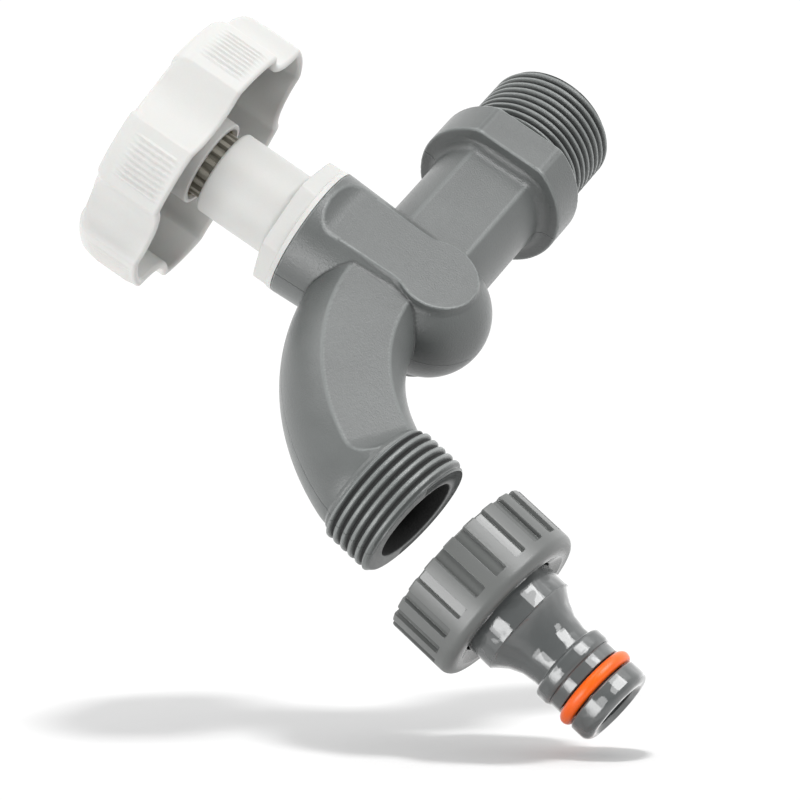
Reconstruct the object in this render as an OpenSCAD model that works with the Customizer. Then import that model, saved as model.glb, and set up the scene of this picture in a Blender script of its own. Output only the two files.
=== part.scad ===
// Rain barrel tap with a rising spindle, a lobed handwheel, a swept spout
// and a screw-on hose adaptor hanging free below the spout.
// The origin is the centre of the flange face that seats on the barrel.
// The inlet thread runs along X, and the spindle stands up along Z.

/* [Inlet] */
// Outside diameter of both pipe threads
thread_d = 26.44; // [26:0.02:27]
// Length of the inlet thread beyond the flange
inlet_thread_l = 17.2; // [14:0.1:20]
// Distance from the spindle axis to the seating face of the flange
inlet_reach = 41.7; // [40:0.1:50]
// Diameter of the round part of the flange
flange_d = 31.2; // [29:0.1:34]
// Distance across the two spanner flats of the flange
flange_flats = 27.6; // [27:0.1:29]
// Thickness of the flange
flange_t = 8.2; // [6:0.1:12]
// Diameter of the inlet pipe
pipe_d = 23.5; // [22:0.1:24]
// Distance across the side flats of the inlet pipe
pipe_flats = 19.8; // [19:0.1:21]
// Radius of the cove between the pipe and the flange
pipe_cove = 2.2; // [1:0.1:3]
// Bore of the inlet and of the spout
bore_d = 17.2; // [15:0.1:17.6]

/* [Valve chamber] */
// Diameter of the barrel at its rim
barrel_d = 26.6; // [26.4:0.1:27.4]
// Diameter of the barrel where the domed bottom begins
dome_d = 24.2; // [23.4:0.1:24.6]
// Height of the rim above the inlet axis
rim_z = 20.9; // [20:0.1:24]
// Depth of the centre of the domed bottom below the inlet axis
dome_drop = 6.4; // [6:0.1:8]
// Distance across the two side pads of the barrel
pad_flats = 22.2; // [22:0.1:23]
// Width of the upper part of a side pad
pad_w = 13; // [11:0.1:14]
// Radius of the round lower end of a side pad
pad_r = 8.1; // [7.8:0.1:8.6]
// Depth of the centre of that round end below the inlet axis
pad_drop = 4.8; // [4.4:0.1:6]
// Height at which the side pads begin to run out under the rim
pad_top = 15.4; // [14:0.1:15.8]
// Radius of the run-out at the ends of the flats
runout_r = 5; // [4:0.1:6]
// Height of the valve seat above the inlet axis
seat_z = 1.8; // [1.4:0.1:2.4]
// Diameter of the waterway through the seat
seat_bore = 9.4; // [8:0.1:10]
// Thickness of the web that carries the seat
seat_web = 2.2; // [1.8:0.1:2.6]
// Height of the raised lip of the seat
seat_lip = 0.8; // [0.5:0.1:1]
// Diameter of the chamber above the seat
chamber_d = 18; // [17.8:0.1:18.4]
// Diameter of the socket that takes the bonnet
socket_d = 20; // [19.8:0.1:20.2]
// Depth of that socket below the rim
socket_depth = 12.5; // [11:0.1:13]

/* [Spout] */
// Outside diameter of the spout
spout_d = 23.3; // [22:0.1:23.6]
// Distance across the side flats of the spout
spout_flats = 19.4; // [18.8:0.1:20.4]
// Radius of the bend on its centre line
bend_r = 37.5; // [35:0.1:39]
// Angle through which the spout bends
bend_a = 64.3; // [62:0.1:66]
// Height of the spout axis above the inlet axis where the bend begins
spout_rise = 2.7; // [2:0.1:3.5]
// Distance from the spindle axis to the start of the bend
spout_start = 6; // [5:0.1:8]
// Tilt of the outlet thread away from the vertical
outlet_tilt = 9.9; // [7:0.1:12]
// Length of the outlet thread
outlet_thread_l = 11.2; // [9.5:0.1:14]

/* [Bonnet and spindle] */
// Thickness of the round collar of the bonnet
collar_t = 1.1; // [0.8:0.1:1.6]
// Distance across the corners of the bonnet hexagon
hex_corners = 26.4; // [24:0.1:26.6]
// Height of the hexagon
hex_h = 3.7; // [3:0.1:5]
// Outside diameter of the bonnet sleeve
sleeve_d = 17.4; // [17:0.1:18.4]
// Height of the top of the sleeve above the inlet axis
sleeve_z = 41.8; // [40:0.1:44]
// Diameter of the plain part of the spindle
stem_d = 14.2; // [14.2:0.05:14.4]
// Diameter of the spindle thread
screw_d = 15.8; // [15.6:0.05:16]
// Length of the spindle thread
screw_l = 9.5; // [9:0.1:10.2]
// Lead of the spindle thread
screw_lead = 3; // [2:0.1:3.2]
// Turns from closed to fully open
open_turns = 1.5; // [1:0.1:1.5]
// Cross-section of the two spindle rings
stem_ring_t = 1.5; // [1.3:0.05:1.6]
// Cross-section of the ring under the collar
bonnet_ring_t = 1.5; // [1.3:0.05:1.6]
// Number of teeth of the spline
spline_teeth = 18; // [12:1:20]
// Diameter over the teeth of the spline
spline_d = 13.8; // [13.4:0.1:13.8]
// Width of one tooth of the spline
tooth_w = 1; // [0.8:0.05:1.2]

/* [Valve head] */
// Diameter of the rubber disc that closes the seat
disc_d = 12.8; // [12.6:0.1:13]
// Thickness of that disc
disc_t = 2; // [1.6:0.1:2.4]
// Diameter of the stub that turns in the foot of the spindle
stub_d = 6; // [5:0.1:7]
// Length of that stub
stub_l = 6.5; // [5:0.1:7.5]

/* [Handwheel] */
// Diameter over the lobes
wheel_d = 54.8; // [52:0.1:60]
// Height of the skirt of the wheel
wheel_h = 14.9; // [13:0.1:16]
// Height of the lower edge of the skirt above the inlet axis
wheel_z = 42.3; // [42:0.1:43]
// Number of lobes
lobes = 6; // [5:1:6]
// Radius of the scallops between the lobes
scallop_r = 10; // [9:0.1:12]
// Depth of the scallops
scallop = 3.8; // [2.4:0.1:4.4]
// Wall thickness of the skirt and of the top
wheel_wall = 1.6; // [1.4:0.1:2]
// Radius of the rounded upper edge of the wheel
wheel_edge = 4.2; // [3:0.1:5]
// Rise of the top towards the middle
wheel_crown = 1.2; // [0.6:0.1:1.8]
// Number of grip ribs on each lobe
grip_ribs = 9; // [5:1:9]
// Diameter of the hub
hub_d = 17.8; // [17.4:0.1:19]
// Gap between the sleeve of the bonnet and the hub when the tap is closed
hub_gap = 2.3; // [1:0.1:3]
// Turn of the wheel at rest, which sets where its lobes point
wheel_turn = 34.2; // [0:0.1:60]
// Diameter of the cap in the middle of the wheel
cap_d = 14; // [12:0.1:15]

/* [Hose adaptor] */
// Gap between the spout and the nut as it hangs ready to be screwed on
adaptor_gap = 10.1; // [6:0.1:14]
// Diameter over the ribs of the nut
nut_d = 33; // [32:0.1:35]
// Length of the nut
nut_l = 13.9; // [13:0.1:15]
// Length of thread that the nut takes up
nut_grip = 7.1; // [6:0.1:7.4]
// Number of grip slots round the nut
nut_slots = 20; // [16:1:22]
// Diameter of the collar of the nipple
collar_d = 20.4; // [19.6:0.1:20.6]
// Length of that collar beyond the nut
collar_l = 4.3; // [3.6:0.1:5.4]
// Diameter of the waist that the hose coupling grips
waist_d = 13.2; // [12.8:0.1:13.8]
// Diameter of the tip of the nipple
tip_d = 16; // [15.9:0.05:16.1]
// Length from the collar to the end of the nipple
tip_l = 21.9; // [21.6:0.1:24]
// Bore of the nipple
nipple_bore = 9.6; // [8:0.1:10]
// Diameter over the ring on the nipple
ring_d = 16.9; // [16.7:0.1:17]
// Thickness of the ring on the nipple
ring_t = 2.5; // [2.3:0.05:2.6]
// Thickness of the flat seal in the nut
flat_seal_t = 2; // [1.6:0.1:2.2]

/* [Fits] */
// Radial clearance of turning and screwed fits
run_clear = 0.08; // [0.05:0.01:0.09]
// Gap between parts that move past each other freely
free_clear = 0.35; // [0.3:0.01:0.5]
// Chamfer on moulded edges
edge = 0.4; // [0.2:0.05:0.5]

/* [Hidden] */
$fn = 96;
tiny = 0.01;
far = 60;

grey = [0.47, 0.49, 0.49];
dark_grey = [0.33, 0.35, 0.36];
white = [0.93, 0.93, 0.91];
orange = [1, 0.42, 0.08];
black = [0.1, 0.1, 0.1];
steel = [0.72, 0.72, 0.74];

// Derived sizes of the body
wall = (pipe_d - bore_d) / 2;
flange_back = inlet_reach - flange_t;
seat_floor = seat_z - seat_lip;
web_under = seat_floor - seat_web;
socket_floor = rim_z - socket_depth;
lower_d = chamber_d;
end_a = 90 - bend_a;
bend_cz = spout_rise - bend_r;
knee_x = -spout_start - bend_r * cos(end_a);
knee_z = bend_cz + bend_r * sin(end_a);

// Derived sizes of the bonnet and the spindle
hex_z = rim_z + collar_t;
sleeve_base = hex_z + hex_h;
shank_d = socket_d - 2 * run_clear;
shank_z = socket_floor + free_clear;
ring_pocket_t = bonnet_ring_t + 0.1;
ring_pocket_d = shank_d + 2 * run_clear + 2 * bonnet_ring_t + 0.1;
bonnet_ring_z = rim_z - ring_pocket_t / 2;
lift = screw_lead * open_turns;
disc_top = seat_z + disc_t;
head_rim = 1.1;
head_t = 2.4;
head_top = disc_top + head_t;
bead = 0.35;
bead_t = 1;
bead_z = head_top + 4;
screw_z = head_top + free_clear;
screw_top = screw_z + screw_l;
stop_z = screw_top + lift + free_clear;
upper_ring_z = sleeve_z - 2.2 - lift;
lower_ring_z = upper_ring_z - 3.6;
spline_z = sleeve_z + 0.1;
spline_root = spline_d - 2;
hub_z = sleeve_z + hub_gap;
wheel_top = wheel_z + wheel_h;
web_z = wheel_top - 4.6;
spindle_top = web_z - 0.1;
screw_hole_d = 4;
screw_head_d = 8;
screw_head_h = 1.4;
screw_grip = 8;
recess_l = 4.4;
recess_w = 0.8;
recess_t = 0.7;
washer_d = 9.6;
washer_t = 0.6;
relief_play = 0.8;
relief_t = 1.6;
relief_flare = 1.4;
cap_t = 1.6;
cap_z = wheel_top + wheel_crown - cap_t;
cap_well = cap_d - 2;
well_floor = web_z + wheel_wall;

// Derived sizes of the adaptor, measured along its axis from the open end of the nut
seal_z = nut_grip;
lip_z = seal_z + flat_seal_t;
lip_t = 2.3;
nut_floor = lip_z + lip_t + 0.05;
nut_bore = thread_d + 2 * run_clear;
neck_z = nut_l + collar_l;
cove_r = 10.4;
cove_l = 7.8;
cove_z = neck_z + cove_l;
waist_l = 9;
ridge_z = neck_z + waist_l;
ridge_t = 3.2;
land_d = 14.9;
land_l = 2.4;
groove_z = ridge_z + ridge_t + land_l;
groove_play = 0.6;
groove_t = ring_t + groove_play;
groove_d = ring_d - 2 * ring_t;
tip_z = groove_z + groove_t;
nipple_end = neck_z + tip_l;

// Places the children on the spindle axis
module at_spindle() {
    translate([-inlet_reach, 0, 0]) children();
}

// Turns the children so that their Z axis runs down the outlet, from the knee of the spout
module at_knee() {
    at_spindle() translate([knee_x, 0, knee_z]) rotate([0, 180 + outlet_tilt, 0]) children();
}

// Places the children at the open end of the hanging nut, with Z down the nipple
module at_adaptor() {
    at_knee() translate([0, 0, outlet_thread_l + adaptor_gap]) children();
}

// Ring of round cross-section, centred on its own plane
module round_ring(outer_d, section) {
    rotate_extrude() translate([(outer_d - section) / 2, 0]) circle(d = section, $fn = 48);
}

// Flat ring standing on Z zero
module flat_ring(outer_d, inner_d, t) {
    difference() {
        cylinder(d = outer_d, h = t);
        translate([0, 0, -1]) cylinder(d = inner_d, h = t + 2);
    }
}

// Cylinder with a chamfer at its upper end
module chamfered(d, h, c) {
    cylinder(d = d, h = h - c);
    translate([0, 0, h - c]) cylinder(d1 = d, d2 = d - 2 * c, h = c);
}

// Section of a pipe with two side flats, in the plane of Y and the second axis
module flat_section(d, flats) {
    intersection() {
        circle(d = d);
        square([d, flats], center = true);
    }
}

// Turns the children so that their Z axis points along X
module along_x() {
    rotate([0, 90, 0]) children();
}

// Round flange with two spanner flats, a cove to the pipe and chamfered edges
module inlet_flange() {
    translate([-flange_t, 0, 0]) along_x() intersection() {
        union() {
            translate([0, 0, edge]) chamfered(flange_d, flange_t - edge, edge);
            cylinder(d1 = flange_d - 2 * edge, d2 = flange_d, h = edge);
        }
        translate([-far / 2, -flange_flats / 2, 0]) cube([far, flange_flats, flange_t]);
    }
    translate([-flange_t - pipe_cove, 0, 0]) difference() {
        along_x() rotate_extrude() difference() {
            square([pipe_d / 2 + pipe_cove, pipe_cove]);
            translate([pipe_d / 2 + pipe_cove, 0]) circle(r = pipe_cove);
        }
        for (side = [-1, 1]) scale([1, side, 1]) {
            translate([0, pipe_flats / 2 + pipe_cove, 0]) cylinder(r = pipe_cove, h = far, center = true);
            translate([-1, pipe_flats / 2 + pipe_cove, -far / 2]) cube([pipe_cove + 1, far, far]);
        }
    }
}

// Straight pipe from the valve chamber to the flange
module inlet_pipe() {
    translate([-inlet_reach, 0, 0]) along_x()
        linear_extrude(flange_back + edge) flat_section(pipe_d, pipe_flats);
}

// Outside of the valve chamber: a drafted barrel on a domed bottom
module barrel() {
    translate([0, 0, -dome_drop]) cylinder(d1 = dome_d, d2 = barrel_d, h = rim_z + dome_drop);
    translate([0, 0, -dome_drop]) sphere(d = dome_d);
}

// Outline of a side pad: a strip that swells into a round end, seen along Y
module pad_outline() {
    blend = 6;
    blend_x = pad_w / 2 + blend;
    blend_z = sqrt(pow(pad_r + blend, 2) - pow(blend_x, 2)) - pad_drop;
    translate([-pad_w / 2, -pad_drop]) square([pad_w, pad_top + pad_drop]);
    translate([0, -pad_drop]) circle(r = pad_r);
    for (side = [-1, 1]) scale([side, 1]) difference() {
        polygon([[0, -pad_drop], [pad_r * blend_x / (pad_r + blend),
            pad_r * (blend_z + pad_drop) / (pad_r + blend) - pad_drop],
            [blend_x, blend_z], [pad_w / 2, blend_z], [0, blend_z]]);
        translate([blend_x, blend_z]) circle(r = blend);
    }
}

// Space outside the flat sides of the barrel, with the run-out under the rim
module pad_cut(side) {
    y0 = side * (pad_flats / 2 + runout_r);
    translate([0, y0, pad_top]) rotate([0, 90, 0]) cylinder(r = runout_r, h = far, center = true);
    translate([-far / 2, y0 - runout_r, -far]) cube([far, 2 * runout_r, far + pad_top]);
}

// Barrel with its two side pads
module chamber_outside() {
    difference() {
        barrel();
        for (side = [-1, 1]) pad_cut(side);
    }
    rotate([90, 0, 0]) linear_extrude(pad_flats, center = true) pad_outline();
}

// Bent part of the spout with any section, from the chamber to the knee
module bend(a) {
    translate([-spout_start, 0, bend_cz]) rotate([90, 0, 0]) rotate([0, 0, 90])
        rotate_extrude(angle = a) translate([bend_r, 0]) children();
}

// Straight stub of the spout inside the chamber wall
module spout_root() {
    translate([-spout_start, 0, spout_rise]) along_x() linear_extrude(spout_start) children();
}

// Space outside one side flat of the spout, with the run-out before the thread
module spout_cut(side) {
    y0 = side * (spout_flats / 2 + runout_r);
    run = sqrt(pow(runout_r, 2) - pow(runout_r - (spout_d - spout_flats) / 2, 2));
    stop_a = bend_a - run / bend_r * 180 / PI;
    bend(stop_a) translate([0, y0]) square([spout_d + 4, 2 * runout_r], center = true);
    translate([-spout_start, 0, bend_cz]) rotate([0, -stop_a, 0])
        translate([0, y0, bend_r]) cylinder(r = runout_r, h = spout_d + 4, center = true);
    translate([-spout_start, y0, spout_rise])
        translate([0, -runout_r, -spout_d]) cube([spout_start, 2 * runout_r, 2 * spout_d]);
}

// Outside of the swept spout with its outlet thread
module spout_outside() {
    difference() {
        union() {
            bend(bend_a) circle(d = spout_d);
            spout_root() circle(d = spout_d);
            translate([knee_x, 0, knee_z]) sphere(d = spout_d);
        }
        for (side = [-1, 1]) spout_cut(side);
    }
}

// Lower chamber, which the inlet bore enters below the seat
module lower_chamber() {
    translate([0, 0, -dome_drop]) {
        sphere(d = lower_d);
        cylinder(d = lower_d, h = web_under + dome_drop);
    }
    intersection() {
        along_x() cylinder(d = bore_d, h = flange_back);
        translate([0, -far / 2, -far]) cube([far, far, far + web_under]);
    }
}

// Upper chamber, which the spout bore leaves above the seat
module upper_chamber() {
    translate([0, 0, seat_floor]) cylinder(d = chamber_d, h = far);
    translate([0, 0, socket_floor]) cylinder(d = socket_d, h = far);
    translate([0, 0, rim_z - ring_pocket_t]) cylinder(d = ring_pocket_d, h = far);
    intersection() {
        union() {
            bend(bend_a) circle(d = bore_d);
            spout_root() circle(d = bore_d);
        }
        translate([-far, -far / 2, seat_floor]) cube([far, far, far]);
    }
}

// Grey moulded body with flange, chamber, seat, spout and both threads
module tap_body() {
    throat = chamber_d / 2 + wall;
    color(grey) difference() {
        union() {
            inlet_flange();
            inlet_pipe();
            at_spindle() chamber_outside();
            at_spindle() spout_outside();
            along_x() chamfered(thread_d, inlet_thread_l, 2 * edge);
            at_knee() chamfered(thread_d, outlet_thread_l, 3 * edge);
        }
        at_spindle() difference() {
            union() {
                lower_chamber();
                upper_chamber();
            }
            translate([0, 0, seat_floor - tiny]) cylinder(d = seat_bore + 2.4, h = seat_lip + tiny);
        }
        at_spindle() translate([0, 0, web_under - 1]) cylinder(d = seat_bore, h = seat_web + seat_lip + 2);
        translate([throat - inlet_reach, 0, 0]) along_x() cylinder(d = bore_d, h = far + inlet_reach);
        at_spindle() difference() {
            bend(bend_a) circle(d = bore_d);
            cylinder(r = throat, h = far, center = true);
        }
        at_spindle() translate([knee_x, 0, knee_z]) sphere(d = bore_d);
        at_knee() cylinder(d = bore_d, h = far);
    }
}

// Hexagon of the bonnet with its corners turned off
module bonnet_hex() {
    intersection() {
        cylinder(d = hex_corners, h = hex_h, $fn = 6);
        chamfered(hex_corners, hex_h, 1.2);
    }
}

// White bonnet: collar, hexagon, sleeve and the shank that screws into the body
module bonnet() {
    hex_turn = 19;
    cove = 1.5;
    color(white) at_spindle() difference() {
        union() {
            translate([0, 0, shank_z]) cylinder(d = shank_d, h = rim_z - shank_z + tiny);
            translate([0, 0, rim_z]) cylinder(d = barrel_d, h = collar_t);
            translate([0, 0, hex_z]) rotate([0, 0, hex_turn]) bonnet_hex();
            translate([0, 0, hex_z]) chamfered(sleeve_d, sleeve_z - hex_z, 2 * edge);
            translate([0, 0, sleeve_base]) rotate_extrude() difference() {
                square([sleeve_d / 2 + cove, cove]);
                translate([sleeve_d / 2 + cove, cove]) circle(r = cove);
            }
        }
        translate([0, 0, shank_z - 1]) cylinder(d = screw_d + 2 * run_clear, h = stop_z - shank_z + 1);
        translate([0, 0, stop_z - 1]) cylinder(d = stem_d + 2 * run_clear, h = far);
        translate([0, 0, sleeve_z - edge]) cylinder(d1 = stem_d, d2 = stem_d + 2 * edge + tiny, h = edge + tiny);
    }
}

// Rubber ring under the collar, in the pocket at the mouth of the socket
module bonnet_ring() {
    color(black) at_spindle() translate([0, 0, bonnet_ring_z])
        round_ring(ring_pocket_d - 0.1, bonnet_ring_t);
}

// Outline of the spline, made larger all round by a clearance
module spline_outline(clear) {
    circle(d = spline_root + 2 * clear);
    for (i = [0 : spline_teeth - 1]) rotate(i * 360 / spline_teeth)
        translate([0, -tooth_w / 2 - clear]) square([spline_d / 2 + clear, tooth_w + 2 * clear]);
}

// Spindle: foot with the lifting thread, stem with two ring grooves, splined head
module spindle() {
    color(dark_grey) at_spindle() difference() {
        union() {
            translate([0, 0, screw_z]) chamfered(screw_d, screw_l, edge);
            translate([0, 0, screw_z]) cylinder(d = stem_d, h = spline_z - screw_z + tiny);
            translate([0, 0, spline_z]) rotate(11) linear_extrude(spindle_top - spline_z) spline_outline(0);
        }
        for (z = [lower_ring_z, upper_ring_z]) translate([0, 0, z]) rotate_extrude()
            translate([stem_d / 2 - stem_ring_t, -0.9]) square([stem_ring_t + 1, 1.8]);
        translate([0, 0, screw_z - 1]) cylinder(d = stub_d + 2 * run_clear, h = stub_l + 1.5);
        translate([0, 0, bead_z - run_clear])
            cylinder(d = stub_d + 2 * bead + 2 * run_clear, h = bead_t + 2 * run_clear);
        translate([0, 0, spindle_top - screw_grip - 1])
            cylinder(d = screw_hole_d + 2 * run_clear, h = screw_grip + 2);
    }
}

// One of the two rubber rings that seal the spindle in the sleeve
module stem_ring(z) {
    color(black) at_spindle() translate([0, 0, z]) round_ring(stem_d + 0.1, stem_ring_t);
}

module stem_ring_lower() {
    stem_ring(lower_ring_z);
}

module stem_ring_upper() {
    stem_ring(upper_ring_z);
}

// Plan of the wheel: a circle with a scallop between every two lobes, drawn inwards by a distance
module wheel_plan(inset) {
    reach = wheel_d / 2 - inset;
    difference() {
        circle(r = reach);
        for (i = [0 : lobes - 1]) rotate((i + 0.5) * 360 / lobes)
            translate([wheel_d / 2 - scallop + scallop_r, 0]) circle(r = scallop_r + inset);
    }
}

// Revolved envelope of the wheel: rounded upper edge and crowned top
module wheel_envelope(inset) {
    r = wheel_d / 2 - inset;
    edge_r = wheel_edge - inset / 2;
    top = wheel_top - inset;
    crown_r = (pow(r - edge_r, 2) + pow(wheel_crown, 2)) / (2 * wheel_crown);
    rotate_extrude() {
        translate([0, wheel_z - 1]) square([r, top - edge_r - wheel_z + 1]);
        translate([0, wheel_z - 1]) square([r - edge_r, top - wheel_z + 1]);
        translate([r - edge_r, top - edge_r]) circle(r = edge_r);
        intersection() {
            translate([0, top + wheel_crown - crown_r]) circle(r = crown_r, $fn = 200);
            translate([0, top - tiny]) square([r, 2 * wheel_crown]);
        }
    }
}

// Rows of fine ribs on the lobes
module wheel_ribs() {
    rib_r = 0.4;
    pitch = 2.26;
    z0 = wheel_z + 1.6;
    h = wheel_h - wheel_edge - 2.2;
    for (i = [0 : lobes - 1], k = [0 : grip_ribs - 1])
        rotate(i * 360 / lobes + (k - (grip_ribs - 1) / 2) * pitch)
            translate([wheel_d / 2 - 0.15, 0, z0]) cylinder(r = rib_r, h = h, $fn = 16);
}

// White handwheel: scalloped skirt, crowned top and splined hub
module handwheel() {
    relief_d = spline_d + relief_play;
    color(white) at_spindle() difference() {
        union() {
            rotate(wheel_turn) {
                difference() {
                    intersection() {
                        translate([0, 0, wheel_z]) linear_extrude(far) wheel_plan(0);
                        wheel_envelope(0);
                    }
                    intersection() {
                        translate([0, 0, wheel_z - 1]) linear_extrude(far) wheel_plan(wheel_wall);
                        wheel_envelope(wheel_wall);
                    }
                }
                wheel_ribs();
            }
            translate([0, 0, hub_z]) cylinder(d = hub_d, h = wheel_top - hub_z + 0.2);
        }
        translate([0, 0, hub_z - 1]) rotate(11) linear_extrude(web_z - hub_z + 1) spline_outline(0.06);
        translate([0, 0, hub_z - 1]) cylinder(d = relief_d, h = relief_t + 1);
        translate([0, 0, hub_z - tiny]) cylinder(d1 = relief_d + relief_flare, d2 = relief_d, h = relief_flare / 2);
        translate([0, 0, hub_z]) cylinder(d = screw_hole_d + 0.6, h = far);
        translate([0, 0, well_floor]) cylinder(d = cap_well, h = far);
        translate([0, 0, cap_z]) cylinder(d = cap_d + 0.2, h = far);
    }
}

// Screw down the middle of the wheel into the spindle
module wheel_screw() {
    head_z = well_floor + washer_t;
    foot_z = spindle_top - screw_grip;
    color(steel) at_spindle() {
        translate([0, 0, head_z]) difference() {
            chamfered(screw_head_d, screw_head_h, edge);
            for (a = [0, 90]) rotate(a) translate([-recess_l / 2, -recess_w / 2, screw_head_h - recess_t])
                cube([recess_l, recess_w, screw_head_h]);
        }
        translate([0, 0, foot_z]) cylinder(d = screw_hole_d, h = head_z - foot_z + tiny);
    }
}

// Plain washer under the head of that screw
module screw_washer() {
    color(steel) at_spindle() translate([0, 0, well_floor]) flat_ring(washer_d, screw_hole_d + 0.4, washer_t);
}

// Cap that closes the well over the screw
module wheel_cap() {
    color(white) at_spindle() translate([0, 0, cap_z]) {
        chamfered(cap_d, cap_t, edge);
        translate([0, 0, -0.7]) flat_ring(cap_well - 0.2, cap_well - 2.2, 0.7 + tiny);
    }
}

// Valve head: cup that holds the seat disc, with the stub that hangs in the spindle
module valve_head() {
    cup_d = disc_d + 2 * head_rim;
    cup_z = seat_z + 0.7;
    color(white) at_spindle() difference() {
        union() {
            translate([0, 0, cup_z]) cylinder(d = cup_d, h = disc_top - cup_z);
            translate([0, 0, disc_top]) chamfered(cup_d, head_t, 0.8);
            translate([0, 0, head_top - tiny]) chamfered(stub_d, stub_l, edge);
            translate([0, 0, bead_z]) cylinder(d = stub_d + 2 * bead, h = bead_t);
        }
        translate([0, 0, cup_z - 1]) cylinder(d = disc_d + 0.1, h = disc_top - cup_z + 1);
        translate([0, 0, disc_top - 1]) cylinder(d = 2.6, h = 6);
    }
}

// Rubber disc that closes the seat
module seat_disc() {
    color(black) at_spindle() translate([0, 0, seat_z]) flat_ring(disc_d, 2.7, disc_t);
}

// Washer under the head of the disc screw
module disc_washer() {
    color(steel) at_spindle() translate([0, 0, seat_z - 0.5]) flat_ring(6.4, 2.7, 0.5);
}

// Screw that holds the seat disc in the valve head
module disc_screw() {
    color(steel) at_spindle() {
        translate([0, 0, seat_z - 1.7]) difference() {
            cylinder(d = 5, h = 1.2);
            translate([-3, -0.35, -1]) cube([6, 0.7, 1.6]);
        }
        translate([0, 0, seat_z - 0.5 - tiny]) cylinder(d = 2.5, h = disc_t + 4);
    }
}

// Union nut with grip slots open at its mouth and a rounded shoulder
module union_nut() {
    slot_w = 2.5;
    slot_depth = 1.1;
    slot_l = nut_l - 3.4;
    shoulder = 2;
    color(grey) at_adaptor() difference() {
        rotate_extrude() difference() {
            union() {
                translate([0, 0]) square([nut_d / 2, nut_l - shoulder]);
                square([nut_d / 2 - shoulder, nut_l]);
                translate([nut_d / 2 - shoulder, nut_l - shoulder]) circle(r = shoulder);
            }
            translate([nut_d / 2 - edge, -tiny]) polygon([[0, 0], [edge + 1, 0], [edge + 1, edge + 1]]);
        }
        for (i = [0 : nut_slots - 1]) rotate(i * 360 / nut_slots + 5) {
            translate([nut_d / 2 - slot_depth, -slot_w / 2, -1]) cube([5, slot_w, slot_l + 1]);
        }
        translate([0, 0, -1]) cylinder(d = nut_bore, h = nut_floor + 1);
        cylinder(d = collar_d + 2 * free_clear, h = nut_l + 1);
        translate([0, 0, nut_l - 0.9]) cylinder(d1 = collar_d + 1, d2 = collar_d + 6, h = 1);
    }
}

// Half section of the nipple, with the axis up the second axis of the drawing
module nipple_section() {
    end_r = 1.6;
    difference() {
        union() {
            translate([0, lip_z]) square([(nut_bore - 1.4) / 2, lip_t]);
            translate([0, lip_z]) square([collar_d / 2, neck_z - lip_z]);
            difference() {
                translate([0, neck_z - tiny]) square([collar_d / 2 - 0.35, ridge_z - neck_z + tiny]);
                translate([waist_d / 2 + cove_r, cove_z]) circle(r = cove_r);
                translate([waist_d / 2, cove_z]) square([far, far]);
            }
            translate([0, cove_z]) square([waist_d / 2, ridge_z - cove_z]);
            translate([0, ridge_z]) square([tip_d / 2 - 0.7, ridge_t]);
            translate([0, ridge_z + 0.7]) square([tip_d / 2, ridge_t - 1.8]);
            translate([tip_d / 2 - 0.7, ridge_z + 0.7]) circle(r = 0.7);
            translate([tip_d / 2 - 1.1, ridge_z + ridge_t - 1.1]) circle(r = 1.1);
            translate([0, ridge_z]) square([land_d / 2, groove_z - ridge_z]);
            translate([0, groove_z - tiny]) square([groove_d / 2, groove_t + 2 * tiny]);
            translate([0, tip_z]) square([tip_d / 2 - end_r, nipple_end - tip_z]);
            translate([0, tip_z + 0.4]) square([tip_d / 2, nipple_end - tip_z - end_r - 0.4]);
            translate([0, tip_z]) square([tip_d / 2 - 0.4, 1]);
            translate([tip_d / 2 - end_r, nipple_end - end_r]) circle(r = end_r);
        }
        square([nipple_bore / 2, far]);
        translate([0, lip_z - tiny]) polygon([[0, 0], [bore_d / 2 - 1, 0], [nipple_bore / 2, 6], [0, 6]]);
        translate([0, nipple_end - 0.8]) polygon([[0, 0], [nipple_bore / 2, 0], [nipple_bore / 2 + 1, 1], [0, 1]]);
        translate([-far, -far]) square([far, 3 * far]);
    }
}

// Hose nipple: retaining lip inside the nut, collar, coved waist, ridge, ring groove and tip
module hose_nipple() {
    color(dark_grey) at_adaptor() rotate_extrude() nipple_section();
}

// Flat seal that the nut presses against the end of the spout
module flat_seal() {
    color(black) at_adaptor() translate([0, 0, seal_z]) flat_ring(nut_bore - 1.4, bore_d - 1, flat_seal_t);
}

// Orange ring that seals the hose coupling
module nipple_ring() {
    color(orange) at_adaptor() translate([0, 0, groove_z + groove_t / 2]) round_ring(ring_d, ring_t);
}

tap_body();
bonnet();
bonnet_ring();
spindle();
stem_ring_lower();
stem_ring_upper();
handwheel();
wheel_screw();
screw_washer();
wheel_cap();
valve_head();
seat_disc();
disc_washer();
disc_screw();
union_nut();
hose_nipple();
flat_seal();
nipple_ring();
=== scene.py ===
"""Rain barrel tap with its hose adaptor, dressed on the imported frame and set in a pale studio.

All sizes are in millimetres in the row frame and become metres when a mesh is made. The
moulded body is skinned from a distance field, and the turned parts are swept round their axes.
In the names of sizes, _r is a radius, _z a height on the part's own axis, _half half a width,
_edge the rounding of an outer edge and _fillet that of an inner corner. The corners of a
profile are radius, height and rounding.
"""

from __future__ import annotations

import logging
import math
from collections.abc import Callable, Mapping, Sequence
from dataclasses import dataclass, field
from enum import Enum
from typing import Any

import bpy
import numpy as np
from mathutils import Matrix, Vector

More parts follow.
